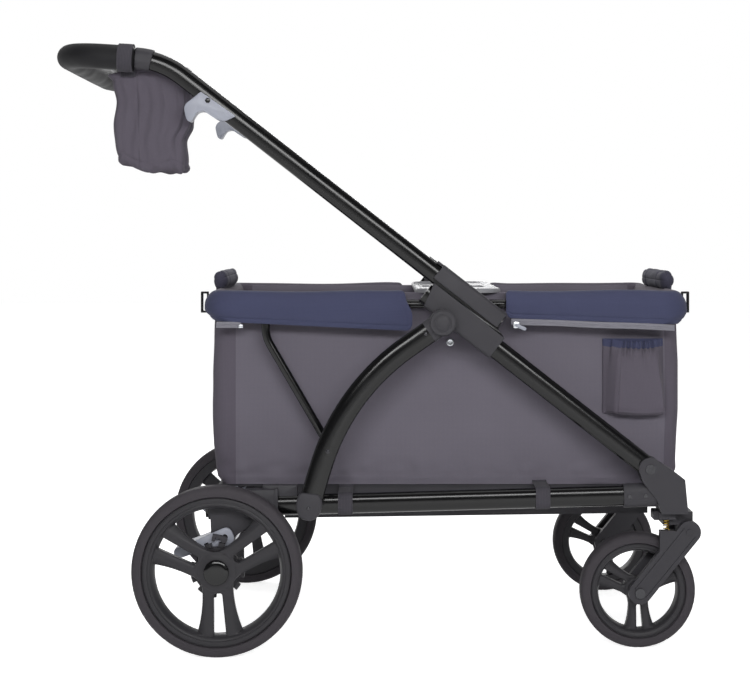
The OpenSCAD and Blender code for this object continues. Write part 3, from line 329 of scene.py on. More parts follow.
def piece(name, patches, body, replaces=(), sharp=35.0):
    """One mesh from grids of points. A patch is its points and the name of its material.

    Each grid becomes quads, the seams and poles are merged, and the faces are turned outwards.
    """
    names = list(dict.fromkeys(material for _, material in patches))
    corners, faces, maps, kinds = [], [], [], []
    base = 0
    for points, material in patches:
        index = np.arange(points.shape[0] * points.shape[1]).reshape(points.shape[:2])
        quads = np.stack([index[:-1, :-1], index[1:, :-1], index[1:, 1:], index[:-1, 1:]], axis=-1)
        quads = quads.reshape(-1, 4)
        corners.append(points.reshape(-1, 3))
        maps.append(arc_map(points).reshape(-1, 2)[quads.ravel()])
        faces.append(quads + base)
        kinds.append(np.full(len(quads), names.index(material)))
        base += index.size
    corners, faces = np.concatenate(corners) * MM, np.concatenate(faces)
    mesh = bpy.data.meshes.new(name)
    mesh.vertices.add(len(corners))
    mesh.vertices.foreach_set("co", corners.astype(np.float32).ravel())
    mesh.loops.add(faces.size)
    mesh.loops.foreach_set("vertex_index", faces.astype(np.int32).ravel())
    mesh.polygons.add(len(faces))
    mesh.polygons.foreach_set("loop_start", np.arange(0, faces.size, 4, dtype=np.int32))
    mesh.polygons.foreach_set("material_index", np.concatenate(kinds).astype(np.int32))
    mesh.uv_layers.new(name="cut").data.foreach_set("uv", np.concatenate(maps).astype(np.float32).ravel())
    mesh.update(calc_edges=True)
    for material in names:
        mesh.materials.append(MATERIALS[material])
    shell = bmesh.new()
    shell.from_mesh(mesh)
    bmesh.ops.remove_doubles(shell, verts=shell.verts, dist=0.02 * MM)
    bmesh.ops.dissolve_degenerate(shell, edges=shell.edges, dist=0.01 * MM)
    bmesh.ops.recalc_face_normals(shell, faces=shell.faces)
    shell.to_mesh(mesh)
    shell.free()
    mesh.polygons.foreach_set("use_smooth", np.ones(len(mesh.polygons), dtype=bool))
    mesh.set_sharp_from_angle(angle=np.radians(sharp))
    mesh.update()
    made = bpy.data.objects.new(name, mesh)
    bpy.context.scene.collection.objects.link(made)
    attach(made, body)
    if replaces:
        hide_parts(*replaces)
    return made


def unit(rows):
    """Each row as a direction of length 1."""
    return rows / np.linalg.norm(rows, axis=1, keepdims=True)


def circle(angle):
    """Points of a circle of radius 1, by angle."""
    return np.stack([np.cos(angle), np.sin(angle)], axis=1)


def bump(distance, width):
    """A bell of height 1 that falls to 0.37 a width away."""
    return np.exp(-(distance / width) ** 2)


def ease(t):
    """Smooth step from 0 to 1."""
    t = np.clip(t, 0.0, 1.0)
    return t * t * (3 - 2 * t)


def even(points, count):
    """Points evenly spaced along a polyline of any number of columns, measured on the first three."""
    step = np.linalg.norm(np.diff(points[:, :3], axis=0), axis=1)
    run = np.concatenate([[0], np.cumsum(step)])
    at = np.linspace(0, run[-1], count)
    return np.stack([np.interp(at, run, column) for column in points.T], axis=1)


def round_plan(low, high, radius, count):
    """Closed plan of a rectangle with round corners: its points and outward normals, evenly spaced."""
    turn = np.linspace(0, np.pi / 2, 17)
    angle = np.concatenate([turn + quarter * np.pi / 2 for quarter in range(4)])
    normal = circle(angle)
    middle = np.array([[high[0] - radius, high[1] - radius], [low[0] + radius, high[1] - radius],
                       [low[0] + radius, low[1] + radius], [high[0] - radius, low[1] + radius]])
    points = np.repeat(middle, len(turn), axis=0) + radius * normal
    table = np.column_stack([points, np.zeros(len(points)), normal])
    table = even(np.vstack([table, table[:1]]), count)
    return table[:, :2], unit(table[:, 3:])


def sweep(path, section):
    """Carries a section along a path: its first column runs sideways and its second upwards.

    section is one outline, or one outline for each point of the path.
    """
    section = np.broadcast_to(section, (len(path), *np.shape(section)[-2:]))
    ahead = unit(np.gradient(path, axis=0))
    side = unit(np.cross(ahead, (0.0, 0.0, 1.0)))
    rise = np.cross(side, ahead)
    return path[:, None] + section[..., :1] * side[:, None] + section[..., 1:] * rise[:, None]


def revolve(centre, profile, turns=None, count=128):
    """Turns a profile of radius and place along Y about an axle.

    turns is a function of the angle, which adds to the radius by angle and row.
    """
    angle = np.linspace(0, 2 * np.pi, count + 1)
    radius = np.broadcast_to(profile[None, :, 0], (count + 1, len(profile)))
    if turns is not None:
        radius = radius + turns(angle)
    return np.stack([centre[0] + radius * np.cos(angle)[:, None],
                     np.broadcast_to(centre[1] + profile[None, :, 1], radius.shape),
                     centre[2] + radius * np.sin(angle)[:, None]], axis=-1)


def waves(u, v, seed, count, low, high, stretch=1.0):
    """Sum of sines of random direction and phase: soft wrinkles about 1 high, between two wave lengths."""
    draw = np.random.default_rng(seed)
    total = np.zeros(np.broadcast(u, v).shape)
    for _ in range(count):
        length = draw.uniform(low, high)
        way = draw.normal(size=2) * (1.0, stretch)
        way *= 2 * np.pi / length / np.linalg.norm(way)
        total += np.sin(way[0] * u + way[1] * v + draw.uniform(0, 2 * np.pi))
    return total / np.sqrt(count)


# Cloth

def pouch(outside, inside, middle, floor):
    """Closes an outer and an inner skin, rows from foot to top, into an open bag.

    Below, each skin runs straight from its foot to the middle, a floor's thickness apart; on top, a lip
    stands a millimetre proud.
    """
    share = np.linspace(0, 1, 9)[None, :, None]
    under = middle + (outside[:, :1] - middle) * share
    bottom = np.add(middle, (0.0, 0.0, floor))
    within = bottom + (inside[:, :1] - bottom) * share
    lip = (outside[:, -1:] + inside[:, -1:]) / 2 + (0.0, 0.0, 1.0)
    return np.concatenate([under[:, :-1], outside, lip, inside[:, ::-1], within[:, -2::-1]], axis=1)


def shifted(plan, normal, offset, z):
    """A plan's points moved out along their normals by offset, at the heights z."""
    place = plan[:, None] + offset[..., None] * normal[:, None]
    return np.concatenate([place, np.broadcast_to(z, offset.shape)[..., None]], axis=-1)


def plan_run(plan):
    """Distance run along a plan, as a column."""
    return np.concatenate([[0], np.cumsum(np.linalg.norm(np.diff(plan, axis=0), axis=1))])[:, None]


def joined(run, over=30.0):
    """Fades relief to nothing where a closed plan starts and ends, so that its skin meets."""
    return ease(np.minimum(run, run[-1] - run) / over)


def tub_points():
    """The tub as a plan carried up: under the floor, up the outside, over the hem and down inside.

    A point lies out from the plan by a belly half way up, more so at the ends, wrinkles that grow towards the
    lower hem, a groove at each upright seam and a roll of piping along the foot.
    """
    s = sizes()
    wall = 4.2
    plan, normal = round_plan(TUB_LOW[:2], TUB_HIGH[:2], 28.0, 561)
    foot, top = TUB_LOW[2], TUB_HIGH[2]
    up_wall = np.linspace(foot + 8, top - 4, 90)
    z = np.concatenate([[foot, foot + 2, foot + 5], up_wall, [top - 1.5, top]])[None]
    t = (z - foot) / (top - foot)
    run = plan_run(plan)
    on_side = np.abs(normal[:, 1:])
    on_end = np.abs(normal[:, :1])
    arch = np.sin(np.pi * np.clip(t, 0, 1)).clip(0, 1)
    belly = -2.5 + 3.0 * arch * on_side + 10.0 * arch ** 0.6 * on_end
    crease = waves(run, z, 3, 14, 60, 190, 1.6) * s.wrinkle * (0.35 + 0.65 * np.exp(-6 * t))
    hem_folds = waves(run, z, 5, 10, 30, 70, 0.6) * 1.6 * bump(z - foot - 26, 16)
    seam = -1.5 * bump(plan[:, :1, None] - TUB_SEAMS, 2.2).sum(-1) * on_side
    welt = 1.6 * bump(z - foot - 13, 2.2) - 0.9 * bump(z - foot - 18, 2.0)
    offset = belly + (crease + hem_folds) * joined(run) + seam + welt
    offset *= ease((z - foot) / 4 + 0.2) * ease((top - z) / 12 + 0.15)
    draw_in = -3.0 * (1 - np.clip((z - foot) / 6, 0, 1)) ** 2
    draw_in = draw_in - 8.0 * (1 - np.clip((z - foot) / 26, 0, 1)) ** 2 * on_end
    offset = np.clip(offset + draw_in, -5.5 - 6.0 * on_end, 4.0 + 4.0 * on_end)
    outside = shifted(plan, normal, offset, z)
    inside = shifted(plan, normal, np.minimum(offset, 0) - wall, np.maximum(z, foot + 3))
    middle = ((TUB_LOW[0] + TUB_HIGH[0]) / 2, 0.0, foot)
    return pouch(outside, inside, middle, 3.0)


def tub_panels(points):
    """The tub cut at its upright seams: the two long sides, and the ends in their darker cloth."""
    half_up = 60
    x = points[:, half_up, 0]
    at_end = (x < TUB_SEAMS[0]) | (x > TUB_SEAMS[1])
    cuts = [0, *(np.flatnonzero(np.diff(at_end)) + 1), len(points) - 1]
    return [(points[start:stop + 1], "gray_end" if at_end[(start + stop) // 2] else "gray")
            for start, stop in zip(cuts[:-1], cuts[1:])]


def snap_points():
    """A press stud: a dished ring turned about Y on the tub's right side."""
    rows = np.array([(0.0, -1.2), (2.2, -1.2), (3.0, -2.6), (5.0, -3.2), (6.6, -2.2), (7.0, -0.2),
                     (6.0, 0.8), (0.0, 0.8)])
    return revolve(np.array([135.5, TUB_LOW[1] + 1.5, 544.0]), rows, count=32)


def pocket_points():
    """The pocket as a plan carried up: a front, a slanting rear gusset and a straight fore one.

    At share t of the height and share f of the depth, the rear edge lies f * (23 + 10 t) mm further on and
    the fore edge f * 17 t mm back. The elastic gathers the top into folds, sines along the plan that grow
    with t.
    """
    plan, normal = round_plan(POCKET_LOW[:2], POCKET_HIGH[:2], 7.0, 401)
    foot, top = POCKET_LOW[2], POCKET_HIGH[2]
    depth = POCKET_HIGH[1] - POCKET_LOW[1]
    z = np.concatenate([foot + np.array([0, 1, 2.5, 5]), np.linspace(foot + 8, top - 14, 44),
                        np.linspace(top - 12, top, 9)])[None]
    t = (z - foot) / (top - foot)
    run = plan_run(plan)
    f = (POCKET_HIGH[1] - plan[:, 1:]) / depth
    lead = f * (23 + 10 * t)
    lag = f * 17 * t
    along = (plan[:, :1] - POCKET_LOW[0]) / (POCKET_HIGH[0] - POCKET_LOW[0])
    x = plan[:, :1] + lead * (1 - along) - lag * along
    free = ease(f / 0.35)
    fold = np.sin(run / 2.35 + 0.8 * np.sin(run / 19))
    gather = 2.8 * fold * np.exp(-(top - 12 - np.minimum(z, top - 12)) / 12)
    gather *= np.where(z > top - 12, 0.8, 1.0)
    longer = 3.0 * waves(run, z, 41, 8, 16, 40, 0.15) * bump(top - z, 34) * 0.6
    slack = 1.3 * waves(run, z, 42, 9, 50, 120, 0.8) * np.sin(np.pi * t)
    hem = -1.1 * bump(z - foot - 8, 1.6)
    band = -1.6 * bump(z - top + 12.5, 1.8)
    offset = (gather + longer + slack + hem + band - 2.6 - 4.0 * t ** 3) * free
    offset -= 6.0 * (1 - np.clip((z - foot) / 8, 0, 1)) ** 2 * free
    edge_fold = -1.2 * bump(run - run[np.argmax(f * (1 - along))], 2.0)
    offset = np.clip(offset + edge_fold, -12.0, 1.5)

    def skin(out):
        place = shifted(plan, normal, out, z)
        place[..., 0] += x - plan[:, :1]
        place[..., 2] -= 3.0 * np.sin(np.pi * np.clip(along, 0, 1)) * free * (t - 1) ** 2
        place[..., 2] += (1.5 * fold - 1.6 - 3.0 * np.sin(np.pi * along)) * free * ease((t - 0.7) / 0.3)
        return place

    middle = (POCKET_LOW[0] + 64, POCKET_HIGH[1] - depth * 0.45, foot + 1)
    return pouch(skin(offset), skin(offset - 2.0 * free - 0.8), middle, 3.0)


def flow(at, knots, values):
    """Runs smoothly from value to value, level at each knot."""
    step = np.clip(np.searchsorted(knots, at) - 1, 0, len(knots) - 2)
    knots, values = np.array(knots, dtype=float), np.array(values, dtype=float)
    share = ease((at - knots[step]) / (knots[step + 1] - knots[step]))
    return values[step] + (values[step + 1] - values[step]) * share


def bag_points():
    """The cup bag: a round-cornered plan carried up, drooping where it hangs free.

    The two sides' outlines follow listed points; upright creases crowd on the fore side, the foot is
    crumpled and rises towards the rear, and the mouth flares at the rear.
    """
    plan, normal = round_plan(BAG_LOW[:2], BAG_HIGH[:2], 24.0, 361)
    along = (plan[:, :1] - BAG_LOW[0]) / (BAG_HIGH[0] - BAG_LOW[0])
    t = np.concatenate([[0, 0.01, 0.025], np.linspace(0.045, 0.985, 62), [1.0]])[None]
    run = plan_run(plan)
    tall = BAG_TOP - BAG_LOW[2]
    ripple = 2.2 * waves(run, 0 * run, 51, 6, 28, 70) * joined(run)
    foot = BAG_LOW[2] + 3 + 15 * (1 - ease(along * 2.2)) + ripple
    top = BAG_TOP - 1 + 13 * ease(along * 2)
    z = foot + (top - foot) * t
    share = np.clip((z - BAG_LOW[2]) / tall, 0, 1)
    arch = np.sin(np.pi * share).clip(0, 1)
    rear = flow(share, [0, 0.1, 0.28, 0.5, 0.72, 0.92, 1.0], [14, 12, 7, 6, 10, 2, -7])
    fore = flow(share, [0, 0.15, 0.33, 0.5, 0.68, 0.85, 1.0], [2, -2, -5, 7, 11, 8, 4])
    x = plan[:, :1] + rear * (1 - along) + fore * along
    crumple = 2.6 * waves(run, z, 52, 10, 22, 60, 0.9) * bump(z - foot, 20)
    slack = 1.8 * waves(run, z, 53, 10, 55, 140, 0.5) * arch
    towards_fore = ease((along - 0.62) / 0.3)
    fore_crease = np.minimum(waves(run, z * 0.18, 54, 8, 16, 34, 0.25), 0.4) * 4.2 * towards_fore
    rear_crease = np.minimum(waves(run, z * 0.15, 55, 7, 20, 46, 0.2), 0.5) * 2.6 * (1 - towards_fore)
    crease = (fore_crease + rear_crease) * arch ** 0.5
    hem = -1.6 * bump(z - foot - 16, 2.0)
    seam_at = BAG_LOW[0] + 50 + 4 * (1 - share)
    seam = -1.5 * bump(x - seam_at, 1.6) * (normal[:, 1:] < -0.5)
    mouth = -1.2 * bump(z - top + 9, 1.5)
    offset = (crumple + slack + crease) * joined(run) + hem + seam + mouth - 2.0
    offset -= 8.0 * (1 - np.clip((z - foot) / 9, 0, 1)) ** 2
    offset = np.clip(offset, -11.0, 4.0)

    def skin(out):
        place = shifted(plan, normal, out, z)
        place[..., 0] += x - plan[:, :1]
        return place

    middle = ((BAG_LOW[0] + BAG_HIGH[0]) / 2, (BAG_LOW[1] + BAG_HIGH[1]) / 2, BAG_LOW[2] + 8)
    return pouch(skin(offset), skin(offset - 2.0), middle, 2.5)


def strap_section(wide, thick):
    """Outline of flat webbing, thin at its woven edges and with a sunk stitch line along each."""
    edge, rise = wide / 2, thick / 2
    upper = np.array([(-edge, 0.0), (-edge + 0.6, rise), (-edge + 2.5, rise), (-edge + 3.2, rise - 0.35),
                      (-edge + 3.9, rise), (0.0, rise + 0.1)])
    upper = np.vstack([upper, upper[-2::-1] * (-1, 1)])
    return np.vstack([upper, upper[-2::-1] * (1, -1)])


def strap(route, wide, thick, side):
    """Webbing laid along a route: its width runs along side, and its ends are closed."""
    section = strap_section(wide, thick)
    ahead = unit(np.gradient(route, axis=0))
    face = unit(np.cross(ahead, side))
    across = section[None, :, :1] * np.array(side)
    return capped(route[:, None] + across + section[None, :, 1:] * face[:, None])


BAG_STRAP_WIDE = 27.0
BAG_STRAP_BACK = 3.0


def bag_strap_points():
    """The bag's webbing round the grip: the flat section turned about the arm's sloping axis."""
    section = strap_section(BAG_STRAP_WIDE, 2.0)
    ahead = np.array([-np.cos(GRIP_RISE), 0.0, np.sin(GRIP_RISE)])
    up = np.array([np.sin(GRIP_RISE), 0.0, np.cos(GRIP_RISE)])
    angle = np.linspace(0, 2 * np.pi, 73)[:, None, None]
    radius = GRIP_RADIUS + 1.6 + section[None, :, 1:]
    back = BAG_STRAP_BACK + BAG_STRAP_WIDE / 2 + section[None, :, :1]
    around = np.cos(angle) * up + np.sin(angle) * np.array([0.0, 1.0, 0.0])
    return GRIP_START + back * ahead + radius * around


def rail_strap_route(x, s):
    """From the tub's side down and out to the rail, then once round the rail's oval."""
    rail = s * SIDE_Y
    half_w = (RAIL_HIGH[1] - RAIL_LOW[1]) / 2
    axis = RAIL_LOW[2] + RAIL_TALL / 2 + (x - RAIL_LOW[0]) * RAIL_SLOPE
    clear = half_w + 1.4
    upright = RAIL_TALL / 2 - half_w
    turn = np.linspace(0.5, -1.25, 49) * np.pi
    y = rail + s * clear * np.cos(turn)
    z = axis + clear * np.sin(turn) + upright * np.sign(np.sin(turn))
    tub = s * (TUB_HIGH[1] + 1.1)
    rise = max(3.0, TUB_LOW[2] + 0.5 - z[0])
    lead = [[tub, z[0] + rise], [tub, z[0] + 0.6 * rise], [tub + s * 1.5, z[0] + 0.2 * rise],
            [tub + s * 5, z[0]]]
    route = np.vstack([lead, np.stack([y, z], axis=1)])
    return even(np.column_stack([np.full(len(route), x), route]), 90)


def harness_route(wall, way, y):
    """Down the end wall, round a small bend and out along the mat, with a lift at the loose end."""
    top, low = HARNESS_HIGH[2], HARNESS_LOW[2] + 1.2
    radius = 9.0
    turn = np.linspace(0, np.pi / 2, 9)
    bend = np.stack([wall + way * (1.2 + radius * (1 - np.cos(turn))),
                     low + radius * (1 - np.sin(turn))], axis=1)
    route = np.vstack([[wall + way * 1.2, top], bend, [wall + way * 89, low]])
    route = even(np.column_stack([route[:, 0], np.full(len(route), y), route[:, 1]]), 70)
    out = way * (route[:, 0] - wall)
    route[:, 2] += 1.6 * ease((out - 40) / 50) * np.abs(np.sin(out / 13))
    return route


def roll_points(low, high, phase):
    """A rolled flap: a section of soft lobes carried across the wagon, with a gathered dome at each end.

    At angle a the radius is r (0.88 + 0.12 |cos 2.5 a| ** 0.6), drawn in at the two ties.
    """
    middle = (low + high) / 2
    radius, half = (high[2] - low[2]) / 2, high[1]
    slim = (high[0] - low[0]) / (high[2] - low[2])
    angle = np.linspace(0, 2 * np.pi, 81)[None]
    y = half * np.sin(np.linspace(-np.pi / 2, np.pi / 2, 201))[:, None]
    dome = np.sqrt(np.clip(1 - (np.maximum(np.abs(y) - half + radius, 0) / radius) ** 2, 0, 1))
    lobes = 0.88 + 0.12 * np.abs(np.cos(2.5 * angle + phase)) ** 0.6
    tied = 1 - 0.10 * bump(np.abs(y) - 62, 5)
    crease = 0.035 * waves(radius * angle, y, 61, 9, 18, 60, 0.3) * np.sin(angle / 2) ** 2
    r = radius * dome * tied * (lobes + crease) * 0.98
    return np.stack([middle[0] + slim * r * np.cos(angle), y + 0 * angle,
                     middle[2] + r * np.sin(angle)], axis=-1)


def neck_points(x, low, high, half):
    """The flat strip that joins a roll to the rim."""
    waist = (low + high) / 2
    outline = np.array([(-1.5, low), (1.5, low), (1.2, waist), (2.0, high), (-2.0, high), (-1.2, waist),
                        (-1.5, low)])
    y = np.linspace(-half, half, 61)[:, None]
    wave = 0.8 * np.sin(y / 17)
    across, up = outline[None, :, 0], outline[None, :, 1]
    return capped(np.stack([x + across + wave, y + 0 * across, up + 0 * y], axis=-1))


def zip_points(start, stop, drop, s, face):
    """Zip tape along a cover's foot: a flat tape with two raised lines of teeth, closed behind.

    start and stop are the X and Z of its upper edge, drop its height and face its outer Y.
    """
    tall = np.array([0, 0.03, 0.22, 0.29, 0.36, 0.43, 0.47, 0.53, 0.57, 0.64, 0.71, 0.78, 0.97, 1.0])
    out = np.array([0.2, 0.7, 0.7, 0.9, 1.3, 0.9, 0.5, 0.5, 0.9, 1.3, 0.9, 0.7, 0.7, 0.2])
    section = np.vstack([np.column_stack([out, -tall * drop]), [(-0.6, -drop), (-0.6, 0.0), (out[0], 0.0)]])
    share = np.linspace(0, 1, 241)[:, None]
    x = start[0] + (stop[0] - start[0]) * share
    z = start[1] + (stop[1] - start[1]) * share + 0.4 * np.sin(x / 23)
    bite = np.where(section[None, :, 0] > 1.0, 0.25 * np.sign(np.sin(x * np.pi / 1.9)), 0.0)
    y = s * (face - 1.5 + section[None, :, 0] + bite)
    return capped(np.stack([x + 0 * y, y, z + section[None, :, 1]], axis=-1))


def mat_points():
    """The floor mat before it is filled: a flat under side and a top that swells between its seams.

    At distance d from the nearest seam or edge the top stands at 1 - (1 - d / 45) ** 2.4 of its full height.
    """
    s = np.linspace(0, 1, 181)
    low, high = MAT_LOW + (2, 2, 0.5), MAT_HIGH - (2, 2, 0.5)
    x = (low[0] + (high[0] - low[0]) * s)[:, None]
    y = np.linspace(low[1], high[1], 91)[None]
    to_tip = np.minimum(x - low[0], high[0] - x)
    inset = 10 * (1 - np.sqrt(np.clip(1 - ((to_tip - 22) / 22).clip(-1, 0) ** 2, 0, 1)))
    y = y * (1 - inset / high[1])
    to_edge = np.minimum(to_tip, high[1] - inset - np.abs(y))
    to_seam = np.abs(x[..., None] - MAT_SEAMS).min(-1)
    near = np.clip(np.minimum(to_edge, to_seam + 0 * y) / 45, 0, 1)
    rise = 1 - (1 - near) ** 2.4
    thin = 7.0
    top = low[2] + thin + (high[2] - low[2] - thin) * rise
    upper = np.stack([x + 0 * y, y, top], axis=-1)
    under = np.stack([x + 0 * y, y, np.full(top.shape, low[2])], axis=-1)
    return capped(loop_close(np.concatenate([upper, under[:, ::-1]], axis=1)))


def filled(pad, voxel, cap):
    """Blows a pad up as cloth: a remeshed copy, held along its seams, swells for 20 frames.

    No point moves further than cap; the result becomes the pad's mesh, which one subdivision smooths.
    """
    scene = bpy.context.scene
    remesh = pad.modifiers.new("even skin", "REMESH")
    remesh.mode = "VOXEL"
    remesh.voxel_size = voxel * MM
    pad.data = bpy.data.meshes.new_from_object(pad.evaluated_get(bpy.context.evaluated_depsgraph_get()))
    pad.modifiers.remove(remesh)
    before = points_of(pad.data)
    to_seam = np.abs(before[:, :1] / MM - MAT_SEAMS).min(axis=1)
    to_edge = np.minimum(before[:, :2] / MM - MAT_LOW[:2], MAT_HIGH[:2] - before[:, :2] / MM).min(axis=1)
    held = np.flatnonzero((to_seam < 6) | (to_edge < 9) | (before[:, 2] / MM < MAT_LOW[2] + 2))
    group = pad.vertex_groups.new(name="held")
    group.add(held.tolist(), 1.0, "REPLACE")
    cloth = pad.modifiers.new("filling", "CLOTH")
    cloth.settings.vertex_group_mass = group.name
    cloth.settings.use_pressure = True
    cloth.settings.uniform_pressure_force = 4.0
    cloth.settings.effector_weights.gravity = 0.0
    cloth.settings.quality = 5
    for step in range(1, 21):
        scene.frame_set(step)
    swollen = pad.evaluated_get(bpy.context.evaluated_depsgraph_get())
    moved = points_of(swollen.data) - before
    pad.modifiers.remove(cloth)
    scene.frame_set(1)
    length = np.linalg.norm(moved, axis=1, keepdims=True)
    after = before + moved * np.minimum(1.0, cap * MM / np.maximum(length, 1e-9))
    pad.data.vertices.foreach_set("co", after.astype(np.float32).ravel())
    pad.vertex_groups.clear()


def points_of(mesh):
    """A mesh's points as an array."""
    flat = np.empty(len(mesh.vertices) * 3, dtype=np.float32)
    mesh.vertices.foreach_get("co", flat)
    return flat.reshape(-1, 3).astype(float)


def cover_path(end, front):
    """Plan of a cover: along the right side from its open end, round the rim's end, back along the left."""
    side = COVER_LOW[1] + 3.0
    limit = RIM_HIGH[0] + 1.5 if front else RIM_LOW[0] - 1.5
    way = 1.0 if front else -1.0
    radius = 50.0
    turn = np.linspace(0, np.pi / 2, 13)
    first = np.stack([limit - way * radius + way * radius * np.sin(turn),
                      side + radius - radius * np.cos(turn)], axis=1)
    second = first[::-1] * (1, -1)
    return np.vstack([[end, side], first, second, [end, -side]])


def cover_points(end, front, lows, slant, seed):
    """A padded cover: a hooked section carried along its plan, as its outer face and its lining.

    The face runs up from the foot and leans in by 11 mm at the crown; the lining goes on over the rim, a
    little way down inside and back a padding's thickness further in. The foot slopes along the side and
    rounds up at the open end, which slant draws back at the top.
    """
    s = sizes()
    plan = cover_path(end, front)
    table = even(np.column_stack([plan, np.zeros(len(plan))]), 421)
    ahead = unit(np.gradient(table[:, :2], axis=0))
    way = 1.0 if front else -1.0
    normal = np.stack([ahead[:, 1], -ahead[:, 0]], axis=1) * way
    run = plan_run(table[:, :2])
    near = np.minimum(run, run[-1] - run)
    side_len = abs(end - (RIM_HIGH[0] if front else RIM_LOW[0]))
    corner = 1 - np.sqrt(1 - (1 - np.clip(near / 12, 0, 1)) ** 2)
    foot = np.interp(near, [0, side_len], lows) + 11 * corner
    sag = 2.5 * (0.5 + 0.5 * waves(run, 0 * run, seed, 5, 120, 320)) * ease(near / 40)
    crown = COVER_HIGH[2] - 3.5 - sag - 5 * corner
    at_end = np.abs(normal[:, :1])
    deep = 46.0 - 14.0 * ease(at_end)
    t = np.linspace(0, 1, 41)[None]
    tall = crown - foot
    arch = np.sin(np.pi * t).clip(0, 1)
    bulge = s.pad * arch ** 0.7 + 0.8 * waves(run, t * 60, seed + 1, 12, 45, 150, 0.7) * arch
    tuck = -14.0 * np.clip(1 - t / 0.38, 0, 1) ** 1.3 * at_end
    hem_line = bump(t * tall - s.hem, 1.4)
    puckers = 0.7 * np.sin(run / 11.0 + 1.5 * np.sin(run / 47)) * bump(t * tall - s.hem, 6)
    end_seam = (bump(near - 7, 1.3) + bump(near - 12, 1.3)) * arch ** 0.3
    lean = -11.0 * np.clip((t - 0.5) / 0.5, 0, 1) ** 2.2
    out = np.minimum(bulge - 1.3 * hem_line + puckers - 1.2 * end_seam, 3.6) + lean + tuck
    up = foot + tall * t
    turn_in = np.linspace(0, 1, 15)[None, 1:]
    over_out = out[:, -1:] - (deep + out[:, -1:]) * turn_in
    over_up = crown + 3.5 * np.sin(np.pi * turn_in) - 5.0 * turn_in ** 3
    lip = np.linspace(0, 1, 7)[None, 1:]
    lip_out = -deep - 1.5 - 0.8 * np.sin(np.pi * lip)
    lip_up = crown - 5.0 - 24.0 * lip
    back_out = np.concatenate([lip_out[:, ::-1] + 3.0, over_out[:, ::-1], out[:, -1:] - 4.0], axis=1)
    back_up = np.concatenate([lip_up[:, ::-1], over_up[:, ::-1] - 3.5, crown - 6.0], axis=1)
    inner_out = (out - 4.0 + 3.0 * (1 - t))[:, -5::-4]
    inner_up = np.minimum(up + 0.5, crown - 6.0)[:, -5::-4]
    # The outer cloth goes this many columns over the crown before the lining starts
    turned = 5
    face_out = np.concatenate([out, over_out[:, :turned]], axis=1)
    face_up = np.concatenate([up, over_up[:, :turned]], axis=1)
    lining_out = np.concatenate([over_out[:, turned - 1:], lip_out, back_out, inner_out, out[:, :1]], axis=1)
    lining_up = np.concatenate([over_up[:, turned - 1:], lip_up, back_up, inner_up, up[:, :1]], axis=1)
    taper = 1 - 0.55 * (1 - ease(near / 14)) ** 2

    def skin(skin_out, skin_up):
        share = np.clip((skin_up - foot) / tall, 0, 1)
        drawn = slant * way * ease((share - 0.3) / 0.7) * (1 - ease(near / 80))
        return np.stack([table[:, :1] + normal[:, :1] * skin_out * taper + drawn,
                         table[:, 1:2] + normal[:, 1:] * skin_out * taper, skin_up], axis=-1)

    return skin(face_out, face_up), skin(lining_out, lining_up)


def capped(points):
    """The grid with each end drawn to its middle, so that the skin is closed."""
    first = np.broadcast_to(points[:1].mean(axis=1, keepdims=True), points[:1].shape)
    last = np.broadcast_to(points[-1:].mean(axis=1, keepdims=True), points[-1:].shape)
    return np.concatenate([first, points, last])


def loop_close(points):
    """The grid with its first column added again at the end."""
    return np.concatenate([points, points[:, :1]], axis=1)


# Tubes and mouldings

def heading(degrees):
    """Direction in X and Z, counted from X towards Z."""
    return np.array([np.cos(np.radians(degrees)), np.sin(np.radians(degrees))])


def run_path(start, way, parts, y):
    """A path in a plane of constant Y: a part is a length, or a radius and the heading that it bends to."""
    points = [np.array(start, dtype=float)]
    for part in parts:
        if np.isscalar(part):
            points.append(points[-1] + part * heading(way))
            continue
        radius, to = part
        bend = radius * np.sign(to - way)
        middle = points[-1] + bend * heading(way + 90)
        points += [middle - bend * heading(turn + 90) for turn in np.linspace(way, to, 31)[1:]]
        way = to
    points = np.array(points)
    return np.column_stack([points[:, 0], np.full(len(points), y), points[:, 1]])


def tube_points(path, wide, tall, rows):
    """A drawn oval tube: the curve |a / wide| ** 2.2 + |b / tall| ** 2.2 = constant, carried along a path."""
    angle = np.linspace(0, 2 * np.pi, 49)
    round_it = circle(angle)
    section = np.sign(round_it) * np.abs(round_it) ** (2 / 2.2) * (wide / 2, tall / 2)
    return capped(sweep(even(path, rows), section))


def rounded(corners, radius, steps=7):
    """Closed outline whose corners are curves that start a radius away; radius is one for all or one each."""
    corners = np.array(corners, dtype=float)
    radius = np.broadcast_to(radius, len(corners))[:, None]

    def towards(other):
        gap = other - corners
        length = np.linalg.norm(gap, axis=1, keepdims=True)
        return corners + gap / length * np.minimum(radius, length / 2)

    t = np.linspace(0, 1, steps)[None, :, None]
    start, stop = towards(np.roll(corners, 1, axis=0)), towards(np.roll(corners, -1, axis=0))
    bend = (1 - t) ** 2 * start[:, None] + 2 * t * (1 - t) * corners[:, None] + t ** 2 * stop[:, None]
    return bend.reshape(-1, 2)


def disc(middle, radius):
    """Round outline."""
    angle = np.linspace(0, 2 * np.pi, 32, endpoint=False)
    return middle + radius * circle(angle)


def bar(start, way, length, wide, radius):
    """Outline of a round-cornered bar from a point along a heading."""
    ahead, side = length * heading(way), wide / 2 * heading(way + 90)
    return rounded([start - side, start + ahead - side, start + ahead + side, start + side], radius)


